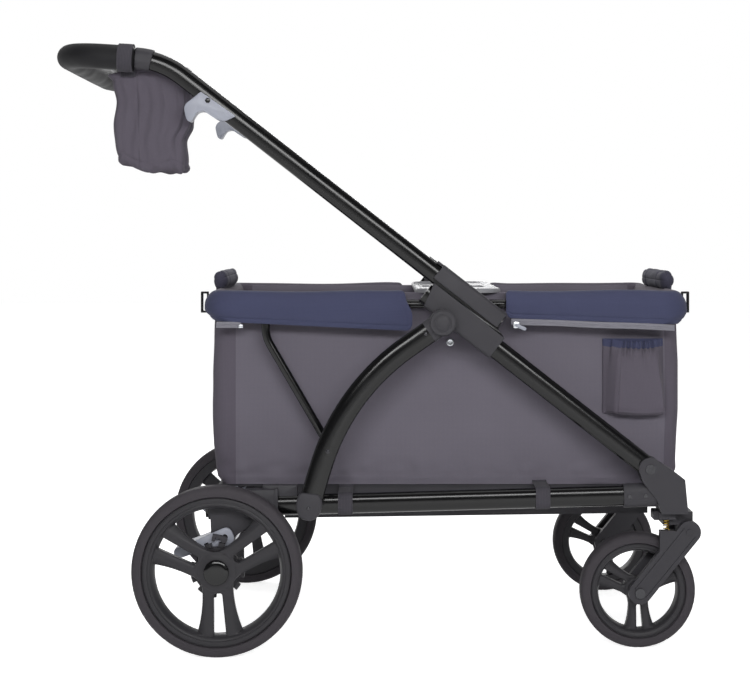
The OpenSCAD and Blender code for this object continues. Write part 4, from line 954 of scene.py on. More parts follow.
def slab(outline, outer, inner, edge=1.2, middle=None):
    """A flat moulding: an outline in X and Z carried along Y from outer to inner, with its edges eased.

    Each face is drawn to the middle, from which the whole outline is in sight.
    """
    middle = outline.mean(axis=0) if middle is None else np.array(middle)
    pull = middle - outline
    pull *= edge / np.linalg.norm(pull, axis=1, keepdims=True)
    step = np.sign(inner - outer) * edge
    rounds = ((1.0, 0.0), (0.3, 0.3), (0.0, 1.0))
    rows = [(outline + pull * share, outer + step * deep) for share, deep in rounds]
    rows += [(outline + pull * share, inner - step * deep) for share, deep in rounds[::-1]]
    tip = np.broadcast_to(middle, outline.shape)
    rows = [(tip, outer), *rows, (tip, inner)]
    grid = [np.column_stack([flat[:, 0], np.full(len(flat), y), flat[:, 1]]) for flat, y in rows]
    return loop_close(np.stack(grid))


class WAGON_OT_tubes(bpy.types.Operator):
    """Draws the oval tubes of the frame"""
    bl_idname = "wagon.tubes"
    bl_label = "Tubes"

    def execute(self, context):
        up = 180 - DIAGONAL_SLOPE
        low = FOLD_AT - 12 * heading(up)
        push = FOLD_AT + 366 * heading(up) + 38 * heading(up - 90)
        rail = (RAIL_LOW[0], RAIL_LOW[2] + RAIL_TALL / 2)
        rail_run = (RAIL_HIGH[0] - RAIL_LOW[0]) / np.cos(np.radians(RAIL_RISE))
        push_path = run_path(push, up, [715.4, (150.0, 176.5)], SIDE_Y)
        brace_path = run_path(BRACE_FOOT, 73.0, [75.9, (396.0, BRACE_TOP_SLOPE), 74.8], BRACE_Y)
        # Each with its body, path, width, height and number of rows along the path
        kinds = (("diagonal", "diagonals", run_path(low, up, [517.0], SIDE_Y), 24.0, 36.0, 60),
                 ("push_tube", "handle", push_path, 24.0, 34.0, 160),
                 ("base_rail", "root", run_path(rail, RAIL_RISE, [rail_run], SIDE_Y), 24.0, RAIL_TALL, 60),
                 ("brace", "braces", brace_path, 23.0, 40.0, 120))
        for side, s in SIDES.items():
            for name, body, route, wide, tall, rows in kinds:
                skin = tube_points(route * (1, s, 1), wide, tall, rows)
                piece(f"{side}_{name}_skin", [(skin, "steel")], body, [f"{side}_{name}"])
        return {"FINISHED"}


def slider_points(s):
    """A slider's sleeve: its section, closed round a slot for both tubes, carried up along the diagonal.

    The section is drawn across Y and across the slope; a groove parts the band from the plate, and each end's
    distance along the slope depends on the height across it.
    """
    outline = rounded([(15.6, 61.0), (15.6, 30.5), (13.2, 30.3), (13.2, 24.2), (15.0, 24.0), (15.0, -21.0),
                       (-15.0, -21.0), (-15.0, 59.5)], (9.0, 2.5, 0.3, 0.3, 1.5, 9.0, 9.0, 9.0))
    middle = np.column_stack([np.zeros(len(outline)), np.clip(outline[:, 1], -6.0, 43.0)])
    away = outline - middle
    slot = middle + 12.5 * unit(away)
    low = np.interp(outline[:, 1], [24.0, 30.5], [345.0, 368.0])
    high = np.interp(outline[:, 1], [-22.0, 15.0, 24.0, 30.5, 61.0], [492.0, 502.0, 503.0, 510.5, 508.5])
    pull = 1.2 * unit(away)
    rows = ((slot, low), (outline - pull, low), (outline - 0.3 * pull, low + 0.4), (outline, low + 1.4),
            (outline, high - 1.4), (outline - 0.3 * pull, high - 0.4), (outline - pull, high), (slot, high),
            (slot, low))
    ahead, up = heading(180 - DIAGONAL_SLOPE), heading(90 - DIAGONAL_SLOPE)
    grid = [np.column_stack([FOLD_AT[0] + run * ahead[0] + flat[:, 1] * up[0], s * (SIDE_Y + flat[:, 0]),
                             FOLD_AT[1] + run * ahead[1] + flat[:, 1] * up[1]]) for flat, run in rows]
    return loop_close(np.stack(grid))


class WAGON_OT_sliders(bpy.types.Operator):
    """Moulds the sliders on the diagonals, each with its groove painted black as shade and its catch"""
    bl_idname = "wagon.sliders"
    bl_label = "Sliders"

    def execute(self, context):
        ahead, up = heading(180 - DIAGONAL_SLOPE), heading(90 - DIAGONAL_SLOPE)
        # First and last column of the groove's outline; they take the black steel finish, painted shade for
        # the shallow recess
        groove = (13, 28)
        for side, s in SIDES.items():
            sleeve = slider_points(s)
            start = FOLD_AT + 507 * ahead + 57.6 * up
            catch = bar(start, 180 - DIAGONAL_SLOPE, 14, 4.4, 1.2)
            catch = slab(catch, s * (SIDE_Y + 7), s * (SIDE_Y - 7), 0.8)
            stub = FOLD_AT + 449.8 * ahead - 22.1 * up
            stub = slab(disc(stub, 16.0), s * (SIDE_Y + 17), s * (SIDE_Y + 11), 1.0)
            patches = [(sleeve[:, :groove[0] + 1], "nylon"), (sleeve[:, groove[0]:groove[1] + 1], "steel"),
                       (sleeve[:, groove[1]:], "nylon"), (catch, "nylon"), (stub, "nylon")]
            piece(f"{side}_slider_shell", patches, "sliders", [f"{side}_slider"], sharp=50)
        return {"FINISHED"}


class WAGON_OT_levers(bpy.types.Operator):
    """Moulds the release levers: two cheeks, the hook between them and the screw"""
    bl_idname = "wagon.levers"
    bl_label = "Levers"

    def execute(self, context):
        cheek = [(-308.4, 992.2), (-246.0, 948.5), (-265.0, 939.5), (-279.0, 942.0), (-303.0, 958.0),
                 (-314.0, 956.0), (-319.0, 949.5), (-325.0, 939.0), (-331.0, 939.5), (-334.5, 946.0),
                 (-338.0, 963.0), (-335.0, 971.0), (-321.0, 981.5)]
        middle = (-316.0, 972.0)
        for side, s in SIDES.items():
            cheeks = [slab(rounded(cheek, 4.0), s * outer, s * inner, 1.0, middle)
                      for outer, inner in ((284.9, 281.6), (256.6, 253.7))]
            hook = slab(rounded(cheek[4:12], 4.0), s * 284.0, s * 254.6, 2.0, (-324.0, 957.0))
            screw = slab(disc(np.array([-295.7, 976.3]), 4.6), s * 286.0, s * 284.0, 0.8)
            patches = [(grid, "pale") for grid in (*cheeks, hook)] + [(screw, "steel")]
            piece(f"{side}_lever_shell", patches, f"{side}_lever_body", [f"{side}_lever"],
                  sharp=50)
        return {"FINISHED"}


def tray_points():
    """The snack tray, drawn in from its plan to its middle: a rolled lip, a sunk plate, two wells and a bin.

    Within a well the plate sinks to the well's depth over a wall 6 mm wide; the under side keeps 3 mm below.
    """
    low, high = span("snack_tray")
    corner = 38.0
    plan, _ = round_plan(low[:2], high[:2], corner, 401)
    middle, half = (low[:2] + high[:2]) / 2, (high[:2] - low[:2]) / 2
    share = np.concatenate([np.linspace(0, 0.9, 100), np.linspace(0.91, 1, 24)])[None, :, None]
    place = middle + (plan[:, None] - middle) * share

    def depth_in(half_size, radius):
        over = np.abs(place - middle) - (half_size - radius)
        return radius - np.linalg.norm(np.maximum(over, 0), axis=-1) - np.minimum(over.max(axis=-1), 0)

    edge = depth_in(half, corner).clip(0)
    z = high[2] - 4.5 * (1 - np.sqrt(1 - (1 - np.clip(edge / 4.5, 0, 1)) ** 2)) - 3.0 * ease((edge - 8) / 7)
    for y in (-100.0, 100.0):
        gap = 38.0 - np.linalg.norm(place - (middle[0], y), axis=-1)
        z = z - 48.0 * ease(gap / 6)
    z = z - 27.0 * ease(depth_in(np.array([61.0, 49.0]), 12.0) / 7)
    under = np.minimum(high[2] - 8.0, z - 3.0)
    top = np.concatenate([place, z[..., None]], axis=-1)
    return np.concatenate([top, np.concatenate([place, under[..., None]], axis=-1)[:, ::-1]], axis=1)


class WAGON_OT_tray(bpy.types.Operator):
    """Moulds the snack tray"""
    bl_idname = "wagon.tray"
    bl_label = "Snack tray"

    def execute(self, context):
        piece("snack_tray_shell", [(tray_points(), "tray")], "tray", ["snack_tray"], sharp=60)
        return {"FINISHED"}


class WAGON_OT_trims(bpy.types.Operator):
    """Adds the small mouldings: sleeves, caps, brake plates, spring seats and rivets"""
    bl_idname = "wagon.trims"
    bl_label = "Small mouldings"

    def execute(self, context):
        for side, s in SIDES.items():
            self.brace(side, s)
            self.rail_end(side, s)
            self.brake(side, s)
            seat = slab(rounded([(497, 229), (540, 229), (540, 246), (497, 246)], 3), s * 251, s * 217, 2.0)
            piece(f"{side}_spring_seat", [(seat, "nylon")], f"{side}_caster", sharp=50)
        return {"FINISHED"}

    def brace(self, side, s):
        start = BRACE_HEAD - 29 * heading(BRACE_TOP_SLOPE)
        sleeve = tube_points(run_path(start, BRACE_TOP_SLOPE, [14.0], s * BRACE_Y), 24.4, 41.6, 8)
        cap = rounded([(-134, 288), (-95, 284), (-92, 262), (-100, 243), (-117, 236.5), (-133, 243),
                       (-140, 262)], 11)
        cap = slab(cap, s * (BRACE_OUT + 2.9), s * 288, 3.0, BRACE_FOOT)
        rivets = [slab(disc(np.array(place), 3.6), s * (BRACE_OUT + proud), s * (BRACE_OUT - 2), 1.8)
                  for place, proud in (((88.7, 565.4), 1.9), ((-83.0, 360.0), 3.0), ((-117.0, 260.5), 4.2))]
        turn = np.linspace(0, np.pi / 2, 9)
        dome = np.column_stack([15.7 * np.sin(turn), s * (4.0 * np.cos(turn) - 1.0)])
        head = np.array([BRACE_HEAD[0], s * (BRACE_OUT + 6.0), BRACE_HEAD[1]])
        dome = revolve(head, np.vstack([dome, [0.0, -s]]), count=48)
        patches = [(sleeve, "nylon"), (cap, "nylon"), (dome, "nylon")] + [(grid, "rivet") for grid in rivets]
        piece(f"{side}_brace_trim", patches, "braces", sharp=50)

    def rail_end(self, side, s):
        block = rounded([(-232, 236), (-172, 238), (-172, 289), (-232, 288)], 6)
        rib = rounded([(-178, 234.5), (-172, 234.5), (-172, 291), (-178, 291)], 2.5)
        skirt = rounded([(-200, 262), (-138, 262), (-138, 295), (-200, 295)], 2)
        patches = [(slab(outline, s * outer, s * inner, edge), "nylon")
                   for outline, outer, inner, edge in ((block, 283.6, 255.5, 2.5), (rib, 284.4, 254.5, 1.5),
                                                       (skirt, 274, 258, 1.0))]
        piece(f"{side}_rail_end", patches, "root", sharp=50)

    def brake(self, side, s):
        way = 204.0
        pivot = np.array([-265.0, 206.0])
        plate = slab(bar(pivot - 15 * heading(way), way, 76, 31, 14), s * 288.4, s * 283.4, 1.2)
        screw = slab(disc(pivot, 5.0), s * 289.4, s * 287.0, 0.8)
        key = slab(bar(pivot + 31 * heading(way), way, 8, 8, 1.5), s * 288.8, s * 287.0, 0.4)
        pedal = rounded([(-270, 213.6), (-262.4, 191.4), (-347, 161.5), (-357, 164.5), (-361, 172),
                         (-357, 179.5)], 5)
        pedal = slab(pedal, s * PEDAL_OUT, s * (PEDAL_OUT - 37.4), 2.0, (-312, 187))
        patches = [(plate, "pale"), (screw, "steel"), (key, "steel"), (pedal, "pale")]
        piece(f"{side}_brake_plate", patches, "brake", sharp=50)


class WAGON_OT_frame(bpy.types.Operator):
    """Gives every node of the frame its finish, and eases the edges of the moulded ones"""
    bl_idname = "wagon.frame"
    bl_label = "Frame finishes"

    def execute(self, context):
        slots = {part["node"]: part["material_slot"] for part in frame["record"]["subparts"]}
        MATERIALS.update(make_materials())
        eased = ("front_casting", "caster_head", "caster_arms", "rear_leg", "brake_linkage", "grip_collars",
                 "brace_knobs", "end_brackets", "frame_rivets", "front_axle")
        # Bolts and legs are darker than others of their stock
        darker = {"frame_rivets": "rivet", "right_front_axle": "rivet", "left_front_axle": "rivet",
                  "right_rear_leg": "nylon", "left_rear_leg": "nylon", "brake_linkage": "nylon"}
        for name, node in frame["nodes"].items():
            for slot in node.material_slots:
                slot.material = MATERIALS[darker.get(name, SLOT_FINISH[slots[name]])]
            if name.endswith(eased):
                weld = node.modifiers.new("joined", "WELD")
                weld.merge_threshold = 0.005 * MM
                bevel = node.modifiers.new("eased edge", "BEVEL")
                bevel.width = sizes().bevel * MM
                bevel.segments = 2
                bevel.limit_method = "ANGLE"
                bevel.angle_limit = np.radians(40)
                bevel.harden_normals = True
        return {"FINISHED"}


class WAGON_OT_tub(bpy.types.Operator):
    """Sews the fabric tub"""
    bl_idname = "wagon.tub"
    bl_label = "Tub"

    def execute(self, context):
        patches = [*tub_panels(tub_points()), (snap_points(), "zinc")]
        tub = piece("tub_cloth", patches, "root", ["basket_shell"])
        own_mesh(tub)
        return {"FINISHED"}


class WAGON_OT_covers(bpy.types.Operator):
    """Pads and hangs the two covers over the rim"""
    bl_idname = "wagon.covers"
    bl_label = "Covers"

    def execute(self, context):
        # Each with the X of its open end, the heights of its foot, its slant and the seed of its folds
        for name, end, front, lows, slant, seed in (("rear_cover", 66.0, False, (567.0, 585.0), 13.0, 21),
                                                    ("front_cover", 234.0, True, (590.0, 578.0), 0.0, 31)):
            face, lining = cover_points(end, front, lows, slant, seed)
            ring = np.concatenate([face, lining[:, 1:]], axis=1)
            tip = [np.stack([ring[row], np.broadcast_to(ring[row].mean(axis=0), ring[row].shape)])
                   for row in (0, -1)]
            patches = [(face, "navy"), (lining, "gray_end"), (tip[0], "navy"), (tip[1], "navy")]
            cover = piece(name, patches, "rim", ["right_covers", "left_covers"])
        return {"FINISHED"}


class WAGON_OT_pocket(bpy.types.Operator):
    """Sews the side pocket, with its gathered elastic"""
    bl_idname = "wagon.pocket"
    bl_label = "Pocket"

    def execute(self, context):
        points = pocket_points()
        # First and last column of the elastic's band
        start, stop = 56, 74
        patches = [(points[:, :start + 1], "gray_end"), (points[:, start:stop + 1], "navy"),
                   (points[:, stop:], "gray_end")]
        pocket = piece("pocket_cloth", patches, "root", ["side_pocket"])
        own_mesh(pocket)
        return {"FINISHED"}


class WAGON_OT_bag(bpy.types.Operator):
    """Sews the cup bag and its strap round the grip"""
    bl_idname = "wagon.bag"
    bl_label = "Cup bag"

    def execute(self, context):
        bag = piece("cup_bag_cloth", [(bag_points(), "gray_end")], "handle", ["cup_bag"])
        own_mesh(bag)
        ring = bag_strap_points()
        tab_x = GRIP_START[0] - BAG_STRAP_BACK - BAG_STRAP_WIDE / 2
        drop = np.linspace(GRIP_START[2], BAG_TOP - 6, 12)[:, None]
        route = np.concatenate([np.full((12, 1), tab_x), np.full((12, 1), BAG_LOW[1] - 0.8), drop], axis=1)
        tab = strap(route, BAG_STRAP_WIDE, 2.0, (1.0, 0.0, 0.0))
        band = piece("cup_bag_strap", [(ring, "webbing"), (tab, "webbing")], "handle", ["cup_bag"])
        return {"FINISHED"}


class WAGON_OT_straps(bpy.types.Operator):
    """Lays the webbing: the straps round the base rails and the harness in the tub"""
    bl_idname = "wagon.straps"
    bl_label = "Straps"

    def execute(self, context):
        wide = 26.0
        routes = [rail_strap_route(x + wide / 2, s) for x in (-66.0, 284.0) for s in SIDES.values()]
        along = np.array([1.0, 0.0, RAIL_SLOPE]) / np.hypot(1.0, RAIL_SLOPE)
        self.lay("rail_strap_webbing", routes, wide, 1.5, along, "rail_straps",
                 ["right_base_rail", "left_base_rail"])
        wide = 25.0
        ends = ((HARNESS_LOW[0], 1.0), (HARNESS_HIGH[0], -1.0))
        routes = [harness_route(wall, way, y) for wall, way in ends for y in (-48.0, 48.0)]
        harness = self.lay("harness_webbing", routes, wide, 2.0, (0.0, 1.0, 0.0), "harness_straps",
                           ["mat_pad"])
        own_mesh(harness)
        return {"FINISHED"}

    def lay(self, name, routes, wide, thick, side, node, under):
        patches = [(strap(route, wide, thick, side), "webbing") for route in routes]
        made = piece(name, patches, "root", [node])
        return made


class WAGON_OT_rolls(bpy.types.Operator):
    """Rolls the end flaps and sews them to the rim"""
    bl_idname = "wagon.rolls"
    bl_label = "End rolls"

    def execute(self, context):
        radius = 19.0
        low_z = ROLL_HIGH[2] - 2 * radius
        for name, x, rim_x, phase in (("rear_roll", ROLL_LOW[0] + radius, RIM_LOW[0] + 8, 0.4),
                                      ("front_roll", ROLL_HIGH[0] - radius, RIM_HIGH[0] - 8, 0.0)):
            half = 0.8 * ROLL_HIGH[1]
            low = np.array([x - 0.75 * radius, -half, low_z])
            high = np.array([x + 0.75 * radius, half, ROLL_HIGH[2]])
            neck = neck_points(rim_x, RIM_HIGH[2] + 0.3, low_z + 9, half - radius)
            patches = [(roll_points(low, high, phase), "navy_gray"), (neck, "gray")]
            roll = piece(name, patches, "rim", ["end_rolls"])
        return {"FINISHED"}


class WAGON_OT_mat(bpy.types.Operator):
    """Fills the floor mat"""
    bl_idname = "wagon.mat"
    bl_label = "Floor mat"

    def execute(self, context):
        mat = piece("mat_pad", [(mat_points(), "mat")], "root", ["floor_mat"])
        filled(mat, 8.0, 5.0)
        smooth = mat.modifiers.new("smooth", "SUBSURF")
        smooth.levels = 1
        smooth.render_levels = 1
        return {"FINISHED"}


class WAGON_OT_zips(bpy.types.Operator):
    """Sews the zips along the feet of the covers"""
    bl_idname = "wagon.zips"
    bl_label = "Zips"

    def execute(self, context):
        face = ZIP_HIGH[1]
        drop = 11.0
        long_zip = ((ZIP_LOW[0], ZIP_HIGH[2]), (ZIP_HIGH[0], ZIP_LOW[2] + drop))
        short_zip = ((RIM_LOW[0] + 22, 583.5), (RIM_LOW[0] + 66, 583.0))
        patches = [(zip_points(*ends, drop, s, face), "zip")
                   for s in SIDES.values() for ends in (long_zip, short_zip)]
        tapes = piece("zip_tape_pair", patches, "rim", ["zip_tapes"])
        body = slab(bar(np.array([246.0, 578.0]), 0.0, 12, 12, 3.5), -252.2, -249.6, 0.9)
        tab = slab(bar(np.array([250.0, 578.5]), -24.0, 21, 6.5, 3.0), -252.9, -251.7, 0.4)
        patches = [(body, "zinc"), (tab, "pale")]
        piece("zip_slider_pull", patches, "zip", ["zip_slider"], sharp=50)
        pulls = [slab(bar(np.array([RIM_LOW[0] + 62, 575.5]), 0.0, 8, 6, 1.5), s * 252.0, s * 250.0, 0.5)
                 for s in SIDES.values()]
        piece("short_zip_pulls", [(grid, "zinc") for grid in pulls], "rim", sharp=50)
        return {"FINISHED"}


def wheel_disc(hub, depth, radius_in, radius_out, waist, flare, slot, thick, draft, out):
    """Half of each of three forked spokes, twice: a closed section carried outwards along the radius.

    At radius r the section runs from the slot's edge to the window's edge, both as angles about the spoke's
    middle: the window's edge lies asin(w / r) away, where w grows from the waist by flare as r squared, and
    it swings out to 60 degrees where the window closes, along a quarter of an ellipse. The spoke's face is
    narrower than its back by draft at the rim, and its wall slopes between them.
    """
    r = np.concatenate([np.linspace(radius_in - 16, radius_in, 4)[:-1],
                        radius_in + (radius_out - radius_in) * (1 - np.cos(np.linspace(0, np.pi, 45))) / 2])
    reach = (r - radius_in) / (radius_out - radius_in)
    half_wide = waist + flare * np.clip(reach, 0, 1) ** 2
    edge = np.arcsin(np.clip(half_wide / np.maximum(r, 1), -1, np.sin(np.pi / 3)))
    near_hub = np.clip((radius_in + 9 - r) / 9, 0, 1)
    near_rim = np.clip((r - radius_out + 6) / 6, 0, 1)
    swing = np.maximum(1 - np.sqrt(1 - near_hub ** 2), 1 - np.sqrt(1 - near_rim ** 2))
    edge = edge + (np.pi / 3 - edge) * swing
    start, stop, narrow, wide = slot
    inside = np.clip((r - start) / 6, 0, 1) * np.clip((stop - r) / 3, 0, 1)
    slit = np.sqrt(np.clip(1 - (1 - inside) ** 2, 0, 1)) * np.interp(r, [start, stop], [narrow, wide])
    slit = slit / np.maximum(r, 1)
    ease_out = 2.0 * (1 - swing)
    slope = draft * np.clip(reach, 0, 1) ** 1.5 * (1 - swing)
    ease_in = 2.0 * np.clip(slit * r / narrow, 0, 1)
    across = np.linspace(0, 1, 7)[None]
    low = (slit + ease_in / r)[:, None]
    high = (edge - (ease_out + slope) / r)[:, None]
    face = low + (high - low) * across
    crown = 1.2 * np.sin(np.pi * across) * (1 - swing)[:, None]
    angle = np.concatenate([face, edge[:, None], edge[:, None], face[:, ::-1], slit[:, None],
                            slit[:, None]], axis=1)
    y_face = np.broadcast_to(-crown, face.shape)
    back = np.full((len(r), 1), thick)
    place = np.concatenate([y_face, (ease_out + 0.7 * slope)[:, None], back - ease_out[:, None],
                            np.broadcast_to(back, face.shape), back - ease_in[:, None],
                            ease_in[:, None]], axis=1)
    grids = []
    for spoke in np.radians((33.0, 153.0, 273.0)):
        for hand in (-1.0, 1.0):
            turned = spoke + hand * angle
            grid = np.stack([hub[0] + r[:, None] * np.cos(turned), hub[1] + out * (depth - place),
                             hub[2] + r[:, None] * np.sin(turned)], axis=-1)
            grids.append(loop_close(grid))
    return grids


class WAGON_OT_wheels(bpy.types.Operator):
    """Moulds the four wheels: forked discs, stepped rims, tyres and hub caps"""
    bl_idname = "wagon.wheels"
    bl_label = "Wheels"

    def execute(self, context):
        for side, out in SIDES.items():
            self.rear(side, out)
            self.front(side, out)
        return {"FINISHED"}

    def ring(self, hub, rows, out):
        """A closed ring: rows are radius and distance inwards from the wheel's outer face."""
        rows = np.array(rows + rows[:1], dtype=float)
        return revolve(hub, np.column_stack([rows[:, 0], out * rows[:, 1]]))

    def tyre(self, name, hub, radius, tall, wide, blocks, body, node):
        """A round shouldered ring with bead lines on each wall and short notches across each shoulder."""
        half = wide / 2
        turn = np.linspace(0, np.pi, 41)
        wall = np.abs(np.cos(turn)) ** 0.55 * np.sign(np.cos(turn))
        crown = np.sin(turn) ** 0.62
        profile = np.column_stack([radius - tall + 1.5 + (tall - 1.5) * crown, half * wall])
        bead = np.array([[radius - tall, half * 0.84], [radius - tall, half * -0.84]])
        profile = np.vstack([bead[:1], profile, bead[1:], bead[:1]])
        height = (profile[:, 0] - radius + tall) / tall
        groove = -0.9 * bump(height - 0.3, 0.05) - 0.6 * bump(height - 0.55, 0.05)
        shoulder = bump(np.abs(profile[:, 1]) / half - 0.72, 0.14) * (height > 0.5)
        gap = 2 * np.pi * radius / blocks

        def notches(angle):
            phase = angle[:, None] * blocks / (2 * np.pi) + np.where(profile[:, 1] > 0, 0.5, 0.0)[None]
            off = np.abs(phase - np.round(phase)) * gap
            return groove[None] - 1.2 * bump(off, 1.7) * shoulder[None]

        skin = revolve(hub, profile, notches, blocks * 16)
        piece(name, [(skin, "tyre")], body, [node], sharp=60)

    def rear(self, side, out):
        low, high = span(f"{side}_rear_tyre")
        hub = (low + high) / 2
        radius, half = (high[0] - low[0]) / 2, (high[1] - low[1]) / 2
        body = f"{side}_rear_wheel"
        self.tyre(f"{side}_rear_tyre_skin", hub, radius, 19.0, 2 * half, sizes().treads, body,
                  f"{side}_rear_tyre")
        face = hub + (0, out * half, 0)
        spokes = wheel_disc(face, -9.0, 33.5, 117.0, 26.5, 15.0, (37.0, 119.0, 7.3, 11.2), 16.0, 10.0, out)
        rim = self.ring(face, [(131, -5), (131, -37), (113, -37), (110.5, -30), (111, -14), (115.5, -6),
                               (117, -4.2), (119, -3.6), (121, -4.4), (122, -3.4), (127, -2.8),
                               (128.5, -3.6), (129.5, -2.6)], out)
        barrel = self.ring(face, [(8.05, -7), (24, -7), (26.5, -8), (34.5, -9), (35, -14), (28, -24),
                                  (27, -34), (8.05, -34)], out)
        rows = np.array([(40, -24), (48, -24), (48, -34), (40, -34), (40, -24)]) * (1, out)

        def notched(angle):
            """Twelve notches, 13 mm wide and almost as deep as the ring."""
            off = (angle - NOTCH_AT + np.pi / 12) % (np.pi / 6) - np.pi / 12
            return np.where(np.abs(48 * np.sin(off)) < 6.5, -7.4, 0.0)[:, None] * (rows[:, 0] > 44)

        ratchet = revolve(face, rows, notched, 720)
        web = self.ring(face, [(26, -24), (41, -24), (41, -27), (26, -27)], out)
        patches = [(grid, "rim") for grid in [*spokes, rim, barrel, ratchet, web]]
        piece(f"{side}_rear_disc", patches, body, [f"{side}_rear_rim"])
        cap = self.ring(face, [(0, 3.2), (14, 2.9), (19, 2.0), (21.3, 0.6), (22, -1), (22, -4), (10, -4),
                               (10, -2), (0, -2)], out)
        piece(f"{side}_hub_cap_dome", [(cap, "cap")], body, [f"{side}_hub_cap"])

    def front(self, side, out):
        low, high = span(f"{side}_front_tyre")
        hub = (low + high) / 2
        radius, half = (high[0] - low[0]) / 2, (high[1] - low[1]) / 2
        body = f"{side}_front_wheel"
        self.tyre(f"{side}_front_tyre_skin", hub, radius, 18.5, 2 * half, round(sizes().treads * 0.7), body,
                  f"{side}_front_tyre")
        face = hub + (0, out * half, 0)
        spokes = wheel_disc(face, -10.0, 22.0, 74.0, 17.0, 10.5, (25.0, 76.0, 4.0, 6.0), 18.0, 6.0, out)
        rim = self.ring(face, [(84.5, -4), (84.5, -36), (72, -36), (70, -30), (70.5, -12), (73, -5),
                               (74.5, -3.6), (76, -4.2), (77.5, -3.2), (81.5, -2.8), (82.5, -3.4),
                               (83.5, -2.6)], out)
        barrel = self.ring(face, [(5.05, 0.8), (15, 0.8), (17, -1), (18, -9), (23, -10), (23, -28), (17, -30),
                                  (17, -39), (15, -40.8), (5.05, -40.8)], out)
        patches = [(grid, "rim") for grid in [*spokes, rim, barrel]]
        piece(f"{side}_front_disc", patches, body, [f"{side}_front_rim"])


class WAGON_OT_grip(bpy.types.Operator):
    """Moulds the foam grip round the handle's bar"""
    bl_idname = "wagon.grip"
    bl_label = "Grip"

    def execute(self, context):
        corner, side, radius = 70.0, GRIP_SIDE, GRIP_RADIUS
        reach = (GRIP_START[0] - GRIP_LOW[0] - radius) / np.cos(GRIP_RISE) - corner
        turn = np.linspace(0, np.pi / 2, 15)
        bend = np.stack([-reach - corner * np.sin(turn), -side + corner - corner * np.cos(turn)], axis=1)
        plan = np.vstack([[0.0, -side], bend, bend[::-1] * (1, -1), [0.0, side]])
        path = even(np.column_stack([plan, np.zeros(len(plan))]), 181)
        local = np.stack([GRIP_START[0] + path[:, 0] * np.cos(GRIP_RISE), path[:, 1],
                          GRIP_START[2] - path[:, 0] * np.sin(GRIP_RISE)], axis=1)
        run = np.linspace(0, 1, len(path))
        total = np.linalg.norm(np.diff(local, axis=0), axis=1).sum()
        near = np.minimum(run, 1 - run) * total
        swell = radius - 0.2 + 0.15 * np.sin(near / 40)
        swell = swell * np.sqrt(np.clip(1 - ((6 - np.minimum(near, 6)) / 7.5) ** 2, 0, 1))
        angle = np.linspace(0, 2 * np.pi, 41)
        seam = 1 - 0.035 * bump(angle - 1.5 * np.pi, 0.1)
        section = swell[:, None, None] * (seam[:, None] * circle(angle))[None]
        skin = sweep(local, section)
        piece("grip_foam", [(capped(skin), "foam")], "handle", ["handle_grip"])
        return {"FINISHED"}


def seen_directly(tree):
    """Socket that is 1 for a ray from the camera or from a mirror or glass, and 0 for light on the object."""
    ray = add(tree, "ShaderNodeLightPath")
    shine = add(tree, "ShaderNodeMath", {0: ray.outputs["Is Camera Ray"], 1: ray.outputs["Is Glossy Ray"]},
                operation="MAXIMUM")
    glass = add(tree, "ShaderNodeMath", {0: shine.outputs["Value"], 1: ray.outputs["Is Transmission Ray"]},
                operation="MAXIMUM")
    return glass.outputs["Value"]


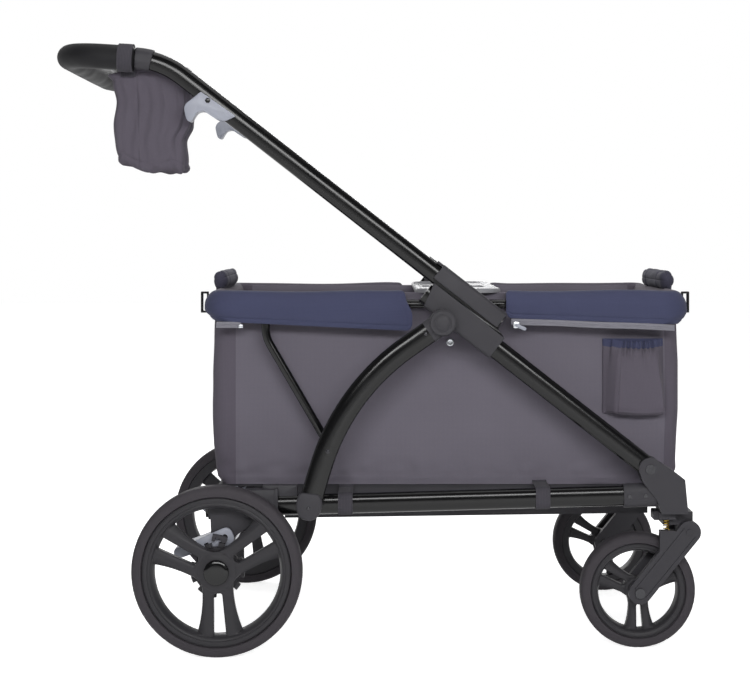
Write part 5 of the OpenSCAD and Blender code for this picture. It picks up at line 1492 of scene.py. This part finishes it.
class WAGON_OT_stage(bpy.types.Operator):
    """Sets the floor, the lamps and the camera"""
    bl_idname = "wagon.stage"
    bl_label = "Stage"

    def execute(self, context):
        scene = context.scene
        scene.view_settings.view_transform = "Standard"
        self.floor()
        self.world(scene)
        self.lamps(scene)
        lens = bpy.data.cameras.new("camera")
        lens.sensor_width = 36.0
        lens.lens = 78.48
        lens.shift_x = -0.012
        lens.shift_y = -0.1573
        camera = bpy.data.objects.new("camera", lens)
        camera.location = (0.0155, -3.172, 0.744)
        camera.rotation_euler = (np.pi / 2, 0.0, 0.0)
        scene.collection.objects.link(camera)
        scene.camera = camera
        return {"FINISHED"}

    def floor(self):
        reach = 14.0
        mesh = bpy.data.meshes.new("floor")
        corners = [(-reach, -reach, 0), (reach, -reach, 0), (reach, reach, 0), (-reach, reach, 0)]
        mesh.from_pydata(corners, [], [(0, 1, 2, 3)])
        floor = bpy.data.objects.new("floor", mesh)
        bpy.context.scene.collection.objects.link(floor)
        # Matt white paint with a faint drift of tone; a base glow keeps it pale to the horizon
        paint = solid_finish("floor_paint", colours().floor, 0.9, 30.0, 0.1, mottle=0.01)
        mesh.materials.append(paint)
        tree = paint.node_tree
        surface = tree.nodes["Principled BSDF"]
        surface.inputs["Emission Color"].default_value = (1.0, 1.0, 1.0, 1.0)
        glow = add(tree, "ShaderNodeMath", {0: seen_directly(tree), 1: 0.8}, operation="MULTIPLY")
        tree.links.new(glow.outputs["Value"], surface.inputs["Emission Strength"])

    def world(self, scene):
        world = bpy.data.worlds.new("studio")
        scene.world = world
        world.use_nodes = True
        tree = world.node_tree
        light = tree.nodes["Background"]
        light.inputs["Color"].default_value = (1.0, 1.0, 1.0, 1.0)
        light.inputs["Strength"].default_value = 0.2
        # The white paper hangs behind the object; towards the camera's side a mirror shows the dim studio
        way = add(tree, "ShaderNodeSeparateXYZ", {0: add(tree, "ShaderNodeTexCoord").outputs["Generated"]})
        paper = add(tree, "ShaderNodeMapRange", {0: way.outputs["Y"], 1: -0.3, 2: 1.0, 3: 0.1, 4: 1.0})
        ray = add(tree, "ShaderNodeLightPath")
        white = add(tree, "ShaderNodeMath", {0: ray.outputs["Is Camera Ray"], 1: paper.outputs["Result"]},
                    operation="MAXIMUM")
        seen = add(tree, "ShaderNodeBackground", {"Color": (1.0, 1.0, 1.0, 1.0),
                                                  "Strength": white.outputs["Value"]})
        choose = add(tree, "ShaderNodeMixShader", {0: seen_directly(tree), 1: light.outputs["Background"],
                                                   2: seen.outputs["Background"]})
        tree.links.new(choose.outputs["Shader"], tree.nodes["World Output"].inputs["Surface"])

    def lamps(self, scene):
        # Most of the light comes from one long tube, which draws a single bright line along each frame tube
        kinds = (("tube", (0.2, -2.75, 1.5), (0.1, 0.0, 0.5), 2.8, 0.5, 55.0),
                 ("fill", (1.6, -3.0, 1.2), (0.1, 0.0, 0.4), 1.6, 1.6, 2.5),
                 ("back", (-0.4, 3.0, 1.6), (0.0, 0.0, 0.5), 2.6, 0.5, 34.0),
                 ("top", (0.0, -0.3, 3.0), (0.0, 0.0, 0.4), 2.0, 2.0, 22.0))
        for name, place, aim, wide, tall, power in kinds:
            lamp = bpy.data.lights.new(name, "AREA")
            lamp.shape = "RECTANGLE"
            lamp.size = wide
            lamp.size_y = tall
            lamp.energy = power
            holder = bpy.data.objects.new(name, lamp)
            holder.location = place
            holder.rotation_euler = (Vector(aim) - Vector(place)).to_track_quat("-Z", "Y").to_euler()
            scene.collection.objects.link(holder)


class WAGON_PT_panel(bpy.types.Panel):
    """Lists the steps, the sizes and the colours"""
    bl_idname = "WAGON_PT_panel"
    bl_label = "Stroller wagon"
    bl_space_type = "VIEW_3D"
    bl_region_type = "UI"
    bl_category = "Wagon"

    def draw(self, context):
        for step in STEPS:
            self.layout.operator(step.bl_idname)
        for group in (context.scene.wagon_sizes, context.scene.wagon_colours):
            for name in group.__annotations__:
                self.layout.prop(group, name)


STEPS = (WAGON_OT_stage, WAGON_OT_frame, WAGON_OT_tubes, WAGON_OT_sliders, WAGON_OT_levers, WAGON_OT_tray,
         WAGON_OT_trims, WAGON_OT_tub, WAGON_OT_covers, WAGON_OT_wheels, WAGON_OT_grip, WAGON_OT_pocket,
         WAGON_OT_bag, WAGON_OT_mat, WAGON_OT_straps, WAGON_OT_rolls, WAGON_OT_zips)
CLASSES = (WagonColours, WagonSizes, *STEPS, WAGON_PT_panel)


def register():
    for kind in CLASSES:
        bpy.utils.register_class(kind)
    bpy.types.Scene.wagon_colours = PointerProperty(type=WagonColours)
    bpy.types.Scene.wagon_sizes = PointerProperty(type=WagonSizes)


def unregister():
    del bpy.types.Scene.wagon_sizes
    del bpy.types.Scene.wagon_colours
    for kind in reversed(CLASSES):
        bpy.utils.unregister_class(kind)


def main():
    register()
    for step in STEPS:
        group, name = step.bl_idname.split(".")
        getattr(getattr(bpy.ops, group), name)()


if __name__ == "__main__":
    main()
